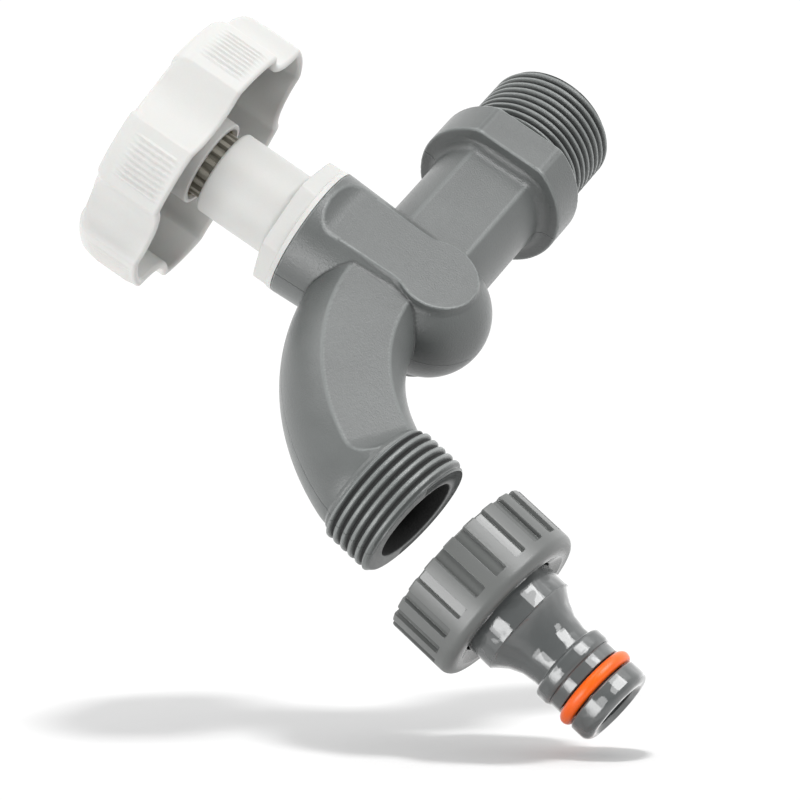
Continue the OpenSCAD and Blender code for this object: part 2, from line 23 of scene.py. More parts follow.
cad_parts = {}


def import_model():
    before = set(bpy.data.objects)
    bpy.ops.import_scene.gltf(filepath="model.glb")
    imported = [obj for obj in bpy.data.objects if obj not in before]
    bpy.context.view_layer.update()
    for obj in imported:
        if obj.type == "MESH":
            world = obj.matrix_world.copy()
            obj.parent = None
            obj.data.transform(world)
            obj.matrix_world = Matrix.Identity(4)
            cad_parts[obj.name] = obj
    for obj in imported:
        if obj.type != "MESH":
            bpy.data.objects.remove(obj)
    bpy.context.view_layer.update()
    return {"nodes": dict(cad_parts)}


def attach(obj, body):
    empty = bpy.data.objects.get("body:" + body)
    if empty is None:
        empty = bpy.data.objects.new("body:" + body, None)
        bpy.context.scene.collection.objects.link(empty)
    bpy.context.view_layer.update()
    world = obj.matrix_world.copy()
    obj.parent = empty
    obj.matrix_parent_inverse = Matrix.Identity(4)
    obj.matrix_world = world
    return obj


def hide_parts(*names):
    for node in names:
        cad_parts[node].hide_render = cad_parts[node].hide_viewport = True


LOG = logging.getLogger("tap")
MM = 0.001
PITCH = 1.814
Array = np.ndarray
Pair = tuple[np.ndarray, np.ndarray]
Marks = dict[str, np.ndarray]
Point = tuple[float, float, float]
Colour = tuple[float, float, float]
Field = Callable[[Array], Array]
Shape = Callable[[Array, Array, Array], Pair]
Mark = Callable[[Array, Array, Array], Marks]
Fine = Callable[[Array, Array], float]


class Part(Enum):
    """Bodies that the new pieces ride on."""

    HOUSING = "housing"
    WHEEL = "wheel"
    ADAPTOR = "adaptor"
    NUT = "nut"


class Slot(Enum):
    """Material slots of the record."""

    BODY = "body_plastic"
    WHITE = "white_plastic"
    SPINDLE = "spindle_plastic"
    NUT = "nut_plastic"
    NIPPLE = "nipple_plastic"
    RING = "ring_rubber"
    SEAL = "seal_rubber"
    STEEL = "screw_steel"


@dataclass(frozen=True)
class Layout:
    """Places of the tap's axes. Each place turns a part's own axis, its Z, into the row frame."""

    reach: float = 41.7
    start: float = 6.0
    rise: float = 2.7
    bend_r: float = 37.5
    bend_a: float = 64.3
    tilt: float = 9.9
    outlet_l: float = 11.2
    gap: float = 10.1
    slide: float = 17.1

    @property
    def knee(self) -> Point:
        """Where the bend of the spout ends and its outlet starts.

        Returns:
            The place in the row frame.
        """
        angle = math.radians(self.bend_a)
        along = self.reach + self.start + self.bend_r * math.sin(angle)
        return -along, 0.0, self.rise - self.bend_r * (1 - math.cos(angle))

    @property
    def spindle(self) -> Matrix:
        """The spindle's axis, with heights from the inlet's axis."""
        return Matrix.Translation((-self.reach, 0, 0))

    @property
    def inlet(self) -> Matrix:
        """The inlet's axis, from the face of the flange."""
        return Matrix.Rotation(math.radians(90), 4, "Y")

    @property
    def outlet(self) -> Matrix:
        """The outlet's axis, from the knee down."""
        turn = Matrix.Rotation(math.radians(180 + self.tilt), 4, "Y")
        return Matrix.Translation(self.knee) @ turn

    @property
    def adaptor(self) -> Matrix:
        """The adaptor's axis, from the open end of the nut down."""
        return self.outlet @ Matrix.Translation((0, 0, self.outlet_l + self.gap))

    @property
    def down(self) -> Array:
        """Direction in which the outlet points."""
        return np.array(self.outlet.to_3x3() @ Vector((0, 0, 1)))


PLAN = Layout()


def soft_least(a: Array, b: Array, width: float) -> Array:
    """Smaller of two values, rounded where they cross.

    Args:
        a: First values.
        b: Second values.
        width: Difference over which the two flow into each other.

    Returns:
        The rounded smaller value at each point.
    """
    share = np.clip(0.5 + 0.5 * (b - a) / width, 0, 1)
    return b + (a - b) * share - width * share * (1 - share)


def ease(low: float, high: float, value: Array) -> Array:
    """Smooth step.

    Args:
        low: Value at which the step starts.
        high: Value at which it ends, below low for a falling step.
        value: Values to map.

    Returns:
        0 before low, 1 after high, and an S curve between.
    """
    t = np.clip((value - low) / (high - low), 0, 1)
    return t * t * (3 - 2 * t)


def tooth(turns: Array, crest: float = 0.5) -> Array:
    """Section of a round-edged pipe thread.

    Args:
        turns: Position along the thread in pitches.
        crest: Share of the pitch above mid height.

    Returns:
        Height from 0 in the root to 1 on the crest.
    """
    away = np.abs((turns % 1.0) - 0.5) * 2
    flat = np.clip((away - (1 - crest)) / 0.66 + 0.5, 0, 1)
    return 0.35 * flat + 0.65 * flat * flat * (3 - 2 * flat)


def from_nearest(angle: Array, count: int, turn: float) -> Array:
    """How far round an axis the nearest of some evenly spaced features is.

    Args:
        angle: Angles in radians.
        count: Number of features.
        turn: Angle of the first one, in degrees.

    Returns:
        Signed angles from the nearest one, in degrees.
    """
    step = 360 / count
    return (np.degrees(angle) - turn + step / 2) % step - step / 2


def near_each(count: int, turn: float, offsets: Sequence[float]) -> list[float]:
    """Angles at some offsets from each of evenly spaced features, all in degrees."""
    return [turn + 360 / count * i + offset for i in range(count) for offset in offsets]


@dataclass(frozen=True)
class Solid:
    """A body given by the signed distance of points from its skin."""

    distance: Field

    def join(self, other: "Solid", fillet: float = 0.0) -> "Solid":
        """Union with another body.

        Args:
            other: The body to add.
            fillet: Radius of the fillet where the two meet.

        Returns:
            The joined body.
        """

        def both(p: Array) -> Array:
            """Distance from the two bodies as one.

            Args:
                p: Points, one a row.

            Returns:
                Their signed distances.
            """
            a, b = self.distance(p), other.distance(p)
            if fillet <= 0:
                return np.minimum(a, b)
            reach = np.hypot(np.maximum(fillet - a, 0), np.maximum(fillet - b, 0))
            return np.maximum(fillet, np.minimum(a, b)) - reach

        return Solid(both)

    def meet(self, other: "Solid", soften: float = 0.0) -> "Solid":
        """What the two bodies share.

        Args:
            other: The body that limits this one.
            soften: Radius of the new edges.

        Returns:
            The shared body.
        """

        def shared(p: Array) -> Array:
            """Distance from what both bodies hold.

            Args:
                p: Points, one a row.

            Returns:
                Their signed distances.
            """
            a, b = self.distance(p), other.distance(p)
            if soften <= 0:
                return np.maximum(a, b)
            reach = np.hypot(np.maximum(soften + a, 0), np.maximum(soften + b, 0))
            return np.minimum(-soften, np.maximum(a, b)) + reach

        return Solid(shared)

    def cut(self, other: "Solid", soften: float = 0.0) -> "Solid":
        """This body without another.

        Args:
            other: The body to take away.
            soften: Radius of the new edges.

        Returns:
            What is left.
        """
        return self.meet(Solid(lambda p: -other.distance(p)), soften)

    def slope(self, p: Array, reach: float = 0.02) -> Array:
        """Direction in which the distance grows.

        Args:
            p: Points, one a row.
            reach: Half the span that it is measured over.

        Returns:
            One vector a point, nearly of length one on the skin.
        """
        steps = np.eye(3) * reach
        return np.stack(
            [(self.distance(p + s) - self.distance(p - s)) / (2 * reach) for s in steps], axis=1
        )

    def bend(self, p: Array, reach: float = 0.3) -> Array:
        """How sharply the skin turns, positive on an outer edge, in 1/mm."""
        total = sum(self.distance(p + s) + self.distance(p - s) for s in np.eye(3) * reach)
        return (total - 6 * self.distance(p)) / reach**2


@dataclass
class Patch:
    """Points, faces, normals and surface values of one closed skin, in millimetres."""

    points: Array
    faces: list[Array]
    normals: Array
    values: Marks = field(default_factory=dict)

    def placed(self, place: Matrix) -> "Patch":
        """The patch turned and moved by a matrix.

        Args:
            place: The matrix.

        Returns:
            The new patch, with the same faces and values.
        """
        m = np.array(place)
        turned = self.normals @ m[:3, :3].T
        return Patch(self.points @ m[:3, :3].T + m[:3, 3], self.faces, turned, self.values)


@dataclass(frozen=True)
class Net:
    """Skins a solid with one point in each cell that its surface crosses."""

    solid: Solid
    low: Point
    high: Point
    step: float
    marks: Mapping[str, Field] = field(default_factory=dict)

    def _sampled(self) -> Array:
        """Distances on the lattice. The solid is the same on both sides of Y zero.

        Returns:
            The distances, by steps along X, Y and Z.
        """
        axes = [np.arange(a, b + self.step, self.step) for a, b in zip(self.low, self.high)]
        side = np.arange(0, self.high[1] + self.step, self.step)
        slabs = []
        for x in axes[0]:
            grid = np.stack(np.meshgrid([x], side, axes[2], indexing="ij"), axis=-1)
            slabs.append(self.solid.distance(grid.reshape(-1, 3)).reshape(len(side), -1))
        half = np.array(slabs)
        return np.concatenate([half[:, :0:-1], half], axis=1)

    @staticmethod
    def _quads(inside: Array, number: Array) -> Array:
        """One quad round each lattice edge that the surface crosses, facing out.

        Args:
            inside: Whether each lattice point is in the solid.
            number: Number of each cell's point.

        Returns:
            Four point numbers a row.
        """
        found = []
        for d in range(3):
            u, v = (d + 1) % 3, (d + 2) % 3
            start = [slice(1, -1)] * 3
            stop = [slice(1, -1)] * 3
            start[d], stop[d] = slice(0, -1), slice(1, None)
            first, last = inside[tuple(start)], inside[tuple(stop)]
            eu, ev = np.eye(3, dtype=int)[u], np.eye(3, dtype=int)[v]
            base = np.argwhere(first != last) + eu + ev
            ring = [base - eu - ev, base - ev, base, base - eu]
            quad = np.stack([number[tuple(c.T)] for c in ring], axis=1)
            out = first[first != last]
            found.append(np.where(out[:, None], quad, quad[:, ::-1]))
        return np.concatenate(found)

    def _settled(self, points: Array) -> Array:
        """The points moved along the slope onto the skin.

        Args:
            points: Points near the skin.

        Returns:
            Points on it.
        """
        for _ in range(3):
            slope = self.solid.slope(points)
            size = np.maximum((slope**2).sum(1), 0.25)
            move = np.clip(self.solid.distance(points) / size, -self.step / 2, self.step / 2)
            points = points - slope * move[:, None]
        return points

    @staticmethod
    def _crossings(away: Array, cells: Array, corners: Array) -> Array:
        """Mean place, in cells, at which the surface crosses the edges of each cell.

        Args:
            away: Distances on the lattice.
            cells: Places of the cells.
            corners: Steps to a cell's corners.

        Returns:
            One place a cell.
        """
        total, hits = np.zeros((len(cells), 3)), np.zeros(len(cells))
        for c in corners:
            for d in np.flatnonzero(c == 0):
                e = c + np.eye(3, dtype=int)[d]
                a, b = away[tuple((cells + c).T)], away[tuple((cells + e).T)]
                crossed = (a < 0) != (b < 0)
                share = np.where(crossed, a / np.where(crossed, a - b, 1), 0)
                total += np.where(crossed[:, None], c + share[:, None] * (e - c), 0)
                hits += crossed
        return cells + total / hits[:, None]

    def _evened(self, points: Array, quads: Array) -> Array:
        """The points drawn to the middle of their neighbours and put back on the skin.

        Args:
            points: Points of the net.
            quads: Its faces.

        Returns:
            The points' new places.
        """
        pairs = np.concatenate([quads[:, [i, (i + 1) % 4]] for i in range(4)])
        near = np.bincount(pairs[:, 0], minlength=len(points))[:, None]
        for _ in range(2):
            sums = [np.bincount(pairs[:, 0], points[pairs[:, 1], k], len(points)) for k in range(3)]
            points = self._settled(0.5 * points + 0.5 * np.stack(sums, axis=1) / np.maximum(near, 1))
        return points

    def patch(self) -> Patch:
        """Makes the skin.

        Returns:
            The skin with its exact normals, a value "edge" for how it bends, and its marks.
        """
        away = self._sampled()
        inside = away < 0
        nx, ny, nz = np.array(away.shape) - 1
        corners = np.array([(i, j, k) for i in (0, 1) for j in (0, 1) for k in (0, 1)])
        held = sum(inside[i : i + nx, j : j + ny, k : k + nz].astype(np.int8) for i, j, k in corners)
        mixed = (held > 0) & (held < len(corners))
        cells = np.argwhere(mixed)
        number = np.full(mixed.shape, -1)
        number[mixed] = np.arange(len(cells))
        origin = np.array([self.low[0], -self.step * (away.shape[1] // 2), self.low[2]])
        quads = self._quads(inside, number)
        points = origin + self._crossings(away, cells, corners) * self.step
        points = self._evened(points, quads)
        slope = self.solid.slope(points, 0.05)
        normals = slope / np.maximum(np.linalg.norm(slope, axis=1), 1e-6)[:, None]
        # The bend value drives painted highlights on outer edges and painted shade in creases in the
        # material.
        values = {"edge": self.solid.bend(points)}
        values.update({key: mark(points) for key, mark in self.marks.items()})
        return Patch(points, [quads], normals, values)


@dataclass(frozen=True)
class Spacing:
    """How close the rows of points lie along a section line.

    Attributes:
        run: Longest straight step, in millimetres.
        arc: Largest turn of a corner from row to row, in radians.
        fine: Gives a shorter step for a straight run from its two ends.
    """

    run: float = 3.0
    arc: float = 0.28
    fine: Fine | None = None


@dataclass(frozen=True)
class Run:
    """Straight piece of a section line."""

    start: Array
    stop: Array

    @property
    def length(self) -> float:
        """Length of the piece."""
        return float(np.linalg.norm(self.stop - self.start))

    def at(self, share: Array) -> Array:
        """Points at shares of the length."""
        return self.start + share[:, None] * (self.stop - self.start)

    def parts(self, spacing: Spacing) -> int:
        """Number of steps along the piece."""
        finest = spacing.fine(self.start, self.stop) if spacing.fine else spacing.run
        return max(1, math.ceil(self.length / min(spacing.run, finest)))


@dataclass(frozen=True)
class Arc:
    """Rounded corner of a section line."""

    centre: Array
    arm: Array
    turn: float

    @property
    def length(self) -> float:
        """Length of the piece."""
        return abs(self.turn) * float(np.linalg.norm(self.arm))

    def at(self, share: Array) -> Array:
        """Points at shares of the length.

        Args:
            share: Shares of the length.

        Returns:
            One point a row.
        """
        cos, sin = np.cos(share * self.turn), np.sin(share * self.turn)
        r, z = self.arm
        return self.centre + np.stack([r * cos - z * sin, r * sin + z * cos], 1)

    def parts(self, spacing: Spacing) -> int:
        """Number of steps round the corner."""
        return max(3, math.ceil(abs(self.turn) / spacing.arc))


class Profile:
    """A section line of straight runs and rounded corners, measured by its length."""

    SHARP = 0.002

    def __init__(self, corners: Sequence[Point], closed: bool = True) -> None:
        """Lays out the line.

        Args:
            corners: Radius, height and rounding of each corner, in order.
            closed: Whether the last corner joins the first.
        """
        self.closed = closed
        self.pieces: list[Run | Arc] = []
        self.starts = [0.0]
        knots = [np.array(corner[:2], float) for corner in corners]
        count = len(knots)
        free = () if closed else (0, count - 1)
        arcs: list[Arc | None] = []
        ends: list[Pair] = []
        for i, (knot, (_, _, radius)) in enumerate(zip(knots, corners)):
            arc, end = None, (knot, knot)
            if i not in free and radius > 0:
                arc, end = self._corner(knots[i - 1], knot, knots[(i + 1) % count], radius)
            arcs.append(arc)
            ends.append(end)
        for i, arc in enumerate(arcs):
            if arc:
                self._add(arc)
            if i < count - 1 or closed:
                run = Run(ends[i][1], ends[(i + 1) % count][0])
                if run.length > 1e-6:
                    self._add(run)
        self.length = self.starts[-1]

    @staticmethod
    def _corner(before: Array, knot: Array, after: Array, radius: float) -> tuple[Arc | None, Pair]:
        """Rounds a corner.

        Args:
            before: The corner before it.
            knot: The corner.
            after: The corner after it.
            radius: Radius of the rounding.

        Returns:
            The arc, or None where the line runs straight on, and the arc's two ends.
        """
        u = (before - knot) / np.linalg.norm(before - knot)
        v = (after - knot) / np.linalg.norm(after - knot)
        half = math.acos(float(np.clip(u @ v, -1, 1))) / 2
        if half > 1.57:
            return None, (knot, knot)
        reach = radius / math.tan(half)
        centre = knot + (u + v) / np.linalg.norm(u + v) * radius / math.sin(half)
        a, b = knot + u * reach - centre, knot + v * reach - centre
        turn = math.atan2(a[0] * b[1] - a[1] * b[0], float(a @ b))
        return Arc(centre, a, turn), (knot + u * reach, knot + v * reach)

    def _add(self, piece: Run | Arc) -> None:
        """Adds a piece of the line and notes where it ends."""
        self.pieces.append(piece)
        self.starts.append(self.starts[-1] + piece.length)

    def at(self, stations: Array) -> Pair:
        """Where the line is.

        Args:
            stations: Lengths along the line.

        Returns:
            Radius and height at each of them.
        """
        s = stations % self.length if self.closed else np.clip(stations, 0, self.length)
        which = np.clip(np.searchsorted(self.starts, s, side="right") - 1, 0, len(self.pieces) - 1)
        found = np.zeros(s.shape + (2,))
        for i, piece in enumerate(self.pieces):
            here = which == i
            if here.any():
                found[here] = piece.at((s[here] - self.starts[i]) / (self.starts[i + 1] - self.starts[i]))
        return found[..., 0], found[..., 1]

    def stations(self, spacing: Spacing) -> Array:
        """Lengths at which rows of points are laid.

        Args:
            spacing: How close the rows lie.

        Returns:
            The lengths, rising, with a pair close together at each sharp corner.
        """
        rows: list[float] = []
        for piece, start, stop in zip(self.pieces, self.starts, self.starts[1:]):
            inner = np.linspace(start, stop, piece.parts(spacing) + 1)
            sharp = self.SHARP if isinstance(piece, Run) else 0.0
            rows += [inner[0] + sharp, *inner[1:-1], inner[-1] - sharp]
        rows = sorted(set(np.round(rows, 5)))
        keep = [r for i, r in enumerate(rows) if i == 0 or r - rows[i - 1] > self.SHARP * 0.75]
        return np.array(keep)


def columns(even: int, extra: Sequence[float] = ()) -> Array:
    """Angles round an axis.

    Args:
        even: Number of evenly spaced angles.
        extra: More angles, in degrees.

    Returns:
        All of them, rising, in radians, without near doubles.
    """
    spaced = np.arange(even) * 360 / even
    angles = np.sort(np.concatenate([spaced, np.asarray(extra, float) % 360]))
    keep = np.append(np.diff(angles) > 0.02, angles[0] + 360 - angles[-1] > 0.02)
    return np.radians(angles[keep])


@dataclass(frozen=True)
class Turned:
    """A section swept round an axis, which a shape may change with the angle."""

    profile: Profile
    angles: Array
    shape: Shape | None = None
    spacing: Spacing = Spacing()
    mark: Mark | None = None

    def _points(self, angle: Array, station: Array) -> Array:
        """Points of the surface at angles and lengths along the section.

        Args:
            angle: Angles round the axis.
            station: Lengths along the section.

        Returns:
            The points, in the part's own axes.
        """
        r, z = self.profile.at(station)
        if self.shape:
            r, z = self.shape(angle, r, z)
        return np.stack([r * np.cos(angle), r * np.sin(angle), z], axis=-1)

    def patch(self, place: Matrix) -> Patch:
        """Makes the surface.

        Args:
            place: Turns the part's own axes into the row frame.

        Returns:
            The closed skin with its exact normals.
        """
        rows = self.profile.stations(self.spacing)
        s, a = np.meshgrid(rows, self.angles, indexing="ij")
        points = self._points(a, s)
        across = self._points(a + 1e-4, s) - self._points(a - 1e-4, s)
        along = self._points(a, s + 1e-3) - self._points(a, s - 1e-3)
        normals = np.cross(across, along)
        size = np.linalg.norm(normals, axis=-1, keepdims=True)
        normals = normals / np.maximum(size, 1e-12)
        n_rows, n_cols = a.shape
        last = n_rows if self.profile.closed else n_rows - 1
        i, j = np.meshgrid(np.arange(last), np.arange(n_cols), indexing="ij")
        i2, j2 = (i + 1) % n_rows, (j + 1) % n_cols
        quads = np.stack([i * n_cols + j, i * n_cols + j2, i2 * n_cols + j2, i2 * n_cols + j], -1)
        quads = quads.reshape(-1, 4)
        flat = points.reshape(-1, 3)
        bare = normals.reshape(-1, 3)
        corners = flat[quads]
        facing = np.cross(corners[:, 2] - corners[:, 0], corners[:, 3] - corners[:, 1])
        if (facing * (corners.mean(1) - flat.mean(0))).sum() < 0:
            quads = quads[:, ::-1]
            facing = -facing
        if (facing * bare[quads[:, 0]]).sum() < 0:
            bare = -bare
        values = {}
        if self.mark:
            r, z = self.profile.at(s)
            values = {k: v.reshape(-1) for k, v in self.mark(a, r, z).items()}
        return Patch(flat, [quads], bare, values).placed(place)


class Maker:
    """Turns patches into Blender objects that ride on the frame."""

    # Mesh values: the bend, which the material turns into painted highlights and painted shade, the polish,
    # the tint, and painted shade for hollows and thread roots.
    VALUES = ("edge", "polish", "tint", "deep")

    @classmethod
    def make(cls, name: str, patches: Sequence[Patch], finishes: Finishes, slot: Slot, part: Part,
             *nodes: str) -> None:
        """Makes one piece.

        Args:
            name: Name of the piece.
            patches: Closed skins that it is made of.
            finishes: The materials.
            slot: Slot of the record that its finish comes from.
            part: Body that it rides on.
            nodes: Nodes of the frame that it stands for.
        """
        mesh = bpy.data.meshes.new(name)
        first = np.cumsum([0] + [len(p.points) for p in patches])
        points = np.concatenate([p.points for p in patches]) * MM
        faces = np.concatenate([f + n for p, n in zip(patches, first) for f in p.faces])
        mesh.from_pydata(points, [], faces)
        mesh.polygons.foreach_set("use_smooth", np.ones(len(mesh.polygons), bool))
        normals = np.concatenate([p.normals for p in patches])
        for key in cls.VALUES:
            held = [p.values.get(key, np.zeros(len(p.points))) for p in patches]
            store = mesh.attributes.new(key, "FLOAT", "POINT")
            store.data.foreach_set("value", np.concatenate(held).astype(np.float32))
        mesh.validate()
        if len(mesh.vertices) == len(normals):
            mesh.normals_split_custom_set_from_vertices(normals)
        mesh.materials.append(finishes.paints[slot])
        piece = bpy.data.objects.new(name, mesh)
        bpy.context.scene.collection.objects.link(piece)
        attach(piece, part.value)
        if nodes:
            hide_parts(*nodes)
        LOG.info("%s: %d faces on %s", name, len(mesh.polygons), part.value)


class Wire:
    """A value socket. Sums and products with it add Math nodes to its tree."""

    def __init__(self, paint: "Paint", socket: bpy.types.NodeSocket) -> None:
        """Wraps a socket of a paint's tree."""
        self.paint = paint
        self.socket = socket

    def _math(self, operation: str, *values: "Wire | float") -> "Wire":
        """Adds one Math node and wraps its result.

        Args:
            operation: Blender's name of the operation.
            values: What it works on.

        Returns:
            The result.
        """
        sockets = {i: v for i, v in enumerate(values)}
        node = self.paint.node("ShaderNodeMath", {"operation": operation}, sockets)
        return Wire(self.paint, node.outputs[0])

    def __add__(self, other: "Wire | float") -> "Wire":
        """Sum."""
        return self._math("ADD", self, other)

    def __radd__(self, other: float) -> "Wire":
        """Sum with a number first."""
        return self._math("ADD", other, self)

    def __sub__(self, other: "Wire | float") -> "Wire":
        """Difference."""
        return self._math("SUBTRACT", self, other)

    def __rsub__(self, other: float) -> "Wire":
        """Difference from a number."""
        return self._math("SUBTRACT", other, self)

    def __mul__(self, other: "Wire | float") -> "Wire":
        """Product."""
        return self._math("MULTIPLY", self, other)

    def __rmul__(self, other: float) -> "Wire":
        """Product with a number first."""
        return self._math("MULTIPLY", other, self)

    def __truediv__(self, other: "Wire | float") -> "Wire":
        """Quotient."""
        return self._math("DIVIDE", self, other)

    def __abs__(self) -> "Wire":
        """Size without its sign."""
        return self._math("ABSOLUTE", self)

    def held(self, low: float = 0.0, high: float = 1.0) -> "Wire":
        """The value kept between two limits."""
        return self._math("MINIMUM", self._math("MAXIMUM", self, low), high)


class Paint:
    """A material under construction."""

    def __init__(self, name: str) -> None:
        """Starts a material with its surface shader and its coordinates.

        Args:
            name: Name of the material.
        """
        self.material = bpy.data.materials.new(name)
        self.material.use_nodes = True
        self.tree = self.material.node_tree
        self.tree.nodes.clear()
        self.shader = self.node("ShaderNodeBsdfPrincipled")
        self.out = self.node("ShaderNodeOutputMaterial")
        self.tree.links.new(self.shader.outputs[0], self.out.inputs["Surface"])
        self.place = self.node("ShaderNodeTexCoord").outputs["Object"]

    @classmethod
    def on(cls, tree: bpy.types.NodeTree) -> "Paint":
        """Works on a node tree that is there already, such as the world's.

        Args:
            tree: The node tree.

        Returns:
            A paint without a material of its own.
        """
        made = cls.__new__(cls)
        made.tree = tree
        return made

    def node(self, kind: str, settings: Mapping[str, Any] | None = None,
             sockets: Mapping[str | int, Any] | None = None) -> bpy.types.Node:
        """Adds one node.

        Args:
            kind: Blender's name of the node type.
            settings: Its settings, which are set first.
            sockets: Values or links of its inputs.

        Returns:
            The node.
        """
        made = self.tree.nodes.new(kind)
        for key, value in (settings or {}).items():
            setattr(made, key, value)
        for key, value in (sockets or {}).items():
            if isinstance(value, Wire):
                value = value.socket
            if isinstance(value, bpy.types.NodeSocket):
                self.tree.links.new(value, made.inputs[key])
            else:
                made.inputs[key].default_value = value
        return made

    def noise(self, size: float, detail: float = 2.0,
              stretch: Point = (1, 1, 1)) -> Wire:
        """Noise of a given grain.

        Args:
            size: Size of one patch, in millimetres.
            detail: Number of finer layers.
            stretch: How much longer the patches are along each axis.

        Returns:
            The noise, about 0.5 in the mean.
        """
        scale = tuple(1 / s for s in stretch)
        mapped = self.node("ShaderNodeMapping", {}, {"Vector": self.place, "Scale": scale})
        made = self.node("ShaderNodeTexNoise", {}, {
            "Vector": mapped.outputs[0], "Scale": 1 / (size * MM), "Detail": detail})
        return Wire(self, made.outputs[0])

    def along(self, axis: str) -> Wire:
        """Place on one axis of the piece, in millimetres."""
        parts = self.node("ShaderNodeSeparateXYZ", {}, {0: self.place})
        return Wire(self, parts.outputs[axis]) * (1 / MM)

    def value(self, name: str) -> Wire:
        """A surface value stored on the mesh."""
        return Wire(self, self.node("ShaderNodeAttribute", {"attribute_name": name}).outputs["Fac"])

    def mix(self, share: Wire | float, a: Any, b: Any) -> bpy.types.NodeSocket:
        """Blends two colours.

        Args:
            share: Share of the second colour.
            a: First colour, three numbers or a socket.
            b: Second colour.

        Returns:
            The blended colour's socket.
        """
        a = (*a, 1) if isinstance(a, tuple) else a
        b = (*b, 1) if isinstance(b, tuple) else b
        made = self.node("ShaderNodeMix", {"data_type": "RGBA"}, {0: share, 6: a, 7: b})
        return made.outputs[2]

    def bump(self, height: Wire, depth: float, strength: float = 1.0) -> None:
        """Raises the surface by a height.

        Args:
            height: Height from 0 to 1.
            depth: Depth of the relief in millimetres.
            strength: Share of the effect.
        """
        made = self.node("ShaderNodeBump", {}, {
            "Strength": strength, "Distance": depth * MM, "Height": height})
        self.tree.links.new(made.outputs[0], self.shader.inputs["Normal"])

    def fade(self, share: Wire) -> None:
        """Lets a share of the light straight through.

        Args:
            share: Share of the light, from 0 to 1.
        """
        clear = self.node("ShaderNodeBsdfTransparent")
        made = self.node("ShaderNodeMixShader", {}, {
            0: share, 1: self.shader.outputs[0], 2: clear.outputs[0]})
        self.tree.links.new(made.outputs[0], self.out.inputs["Surface"])

    def finish(self, colour: Any, roughness: Wire | float, **steady: float) -> bpy.types.Material:
        """Feeds the surface shader.

        Args:
            colour: Socket of the base colour.
            roughness: Roughness, a number or a value.
            steady: Sockets of the shader that are the same all over, with _ for spaces.

        Returns:
            The finished material.
        """
        self.tree.links.new(colour, self.shader.inputs["Base Color"])
        if isinstance(roughness, Wire):
            self.tree.links.new(roughness.socket, self.shader.inputs["Roughness"])
        else:
            self.shader.inputs["Roughness"].default_value = roughness
        for key, value in steady.items():
            self.shader.inputs[key.replace("_", " ")].default_value = value
        return self.material


def scaled(colour: Colour, by: float) -> Colour:
    """A colour made lighter or darker."""
    return tuple(min(c * by, 1.0) for c in colour)


@dataclass(frozen=True)
class Moulding:
    """Moulded plastic with flow marks, a spark-eroded grain and a parting line, with painted highlights on
    its edges and painted shade in its creases and hollows.
    """

    name: str
    colour: Colour
    roughness: float = 0.45
    gloss: float = 0.2
    flow: float = 0.04
    grain: float = 0.3
    grain_depth: float = 0.02
    # Share of the painted highlight that lightens outer edges, thread crests and slot edges.
    edge_highlight: float = 0.25
    tint: Colour = (0.6, 0.5, 0.3)
    coat: float = 0.0
    scatter: float = 0.0
    # Strength of the parting line: a raised seam, whose colour is lightened as a painted highlight.
    parting: float = 0.0
    specular: float = 0.5
    # Share of the painted shade that darkens inner creases.
    crease_shade: float = 0.0
    ripple: float = 0.0

    def paint(self) -> bpy.types.Material:
        """Makes the material.

        Returns:
            A material that reads four mesh values: bend, for painted highlights and painted shade, polish,
                tint and painted shade.
        """
        paint = Paint(self.name)
        cloud = paint.noise(14, 3)
        flow = paint.noise(5, 4, (1, 1, 3))
        grain = paint.noise(self.grain, 2)
        dust = paint.noise(self.grain * 0.45, 1)
        edge, polish = paint.value("edge"), paint.value("polish").held()
        tone = ((cloud - 0.5) * 2.2 + (flow - 0.5) * 1.4 + 0.5).held()
        base = paint.mix(tone, scaled(self.colour, 1 - self.flow), scaled(self.colour, 1 + self.flow))
        speck = ((grain - 0.42) * 4).held() * 0.05
        base = paint.mix(speck, base, scaled(self.colour, 0.7))
        # Painted highlight: outer edges, thread crests and slot edges are lightened.
        line = (edge * 0.55 - 0.35).held() * self.edge_highlight
        base = paint.mix(line, base, scaled(self.colour, 2.6))
        # Painted shade: inner creases are darkened.
        hollow = (edge * -0.6 - 0.1).held() * self.crease_shade
        base = paint.mix(hollow, base, scaled(self.colour, 0.3))
        base = paint.mix(paint.value("tint").held(), base, self.tint)
        relief = (grain * 0.6 + dust * 0.4) * ((1 - polish) * 0.92 + 0.08)
        # Parting line: a raised seam in the relief, with a painted highlight that lightens its colour.
        if self.parting > 0:
            seam = (1 - abs(paint.along("Y")) / 0.14).held()
            base = paint.mix(seam * self.parting, base, scaled(self.colour, 1.5))
            relief = relief + seam * 2
        # Painted shade: the waterway and thread roots are darkened almost to black and made rougher.
        deep = paint.value("deep").held()
        base = paint.mix(deep, base, scaled(self.colour, 0.08))
        if self.ripple > 0:
            relief = relief + paint.noise(4.5, 1) * self.ripple
        rough = (self.roughness - self.gloss) * (1 - polish) + self.gloss
        rough = rough + (flow - 0.5) * 0.12 + (grain - 0.5) * 0.1 * (1 - polish) + deep * 0.5
        paint.bump(relief, self.grain_depth)
        return paint.finish(
            base, rough.held(0.03, 1), Coat_Weight=self.coat, Coat_Roughness=0.05, Coat_IOR=1.6,
            Specular_IOR_Level=self.specular, Subsurface_Weight=self.scatter,
            Subsurface_Scale=0.002)


@dataclass(frozen=True)
class Rubber:
    """Moulded rubber with a faint bloom and fine pits."""

    name: str
    colour: Colour
    bloom: Colour
    roughness: float = 0.5

    def paint(self) -> bpy.types.Material:
        """Makes the material.

        Returns:
            The material.
        """
        paint = Paint(self.name)
        cloud, pits = paint.noise(3, 4), paint.noise(0.22, 3)
        base = paint.mix(((cloud - 0.45) * 1.6).held() * 0.5, self.colour, self.bloom)
        base = paint.mix(((0.42 - pits) * 5).held() * 0.4, base, scaled(self.colour, 0.6))
        paint.bump(pits * 0.7 + cloud * 0.3, 0.03, 0.7)
        return paint.finish(base, (self.roughness + (pits - 0.5) * 0.25).held(0.1, 1))


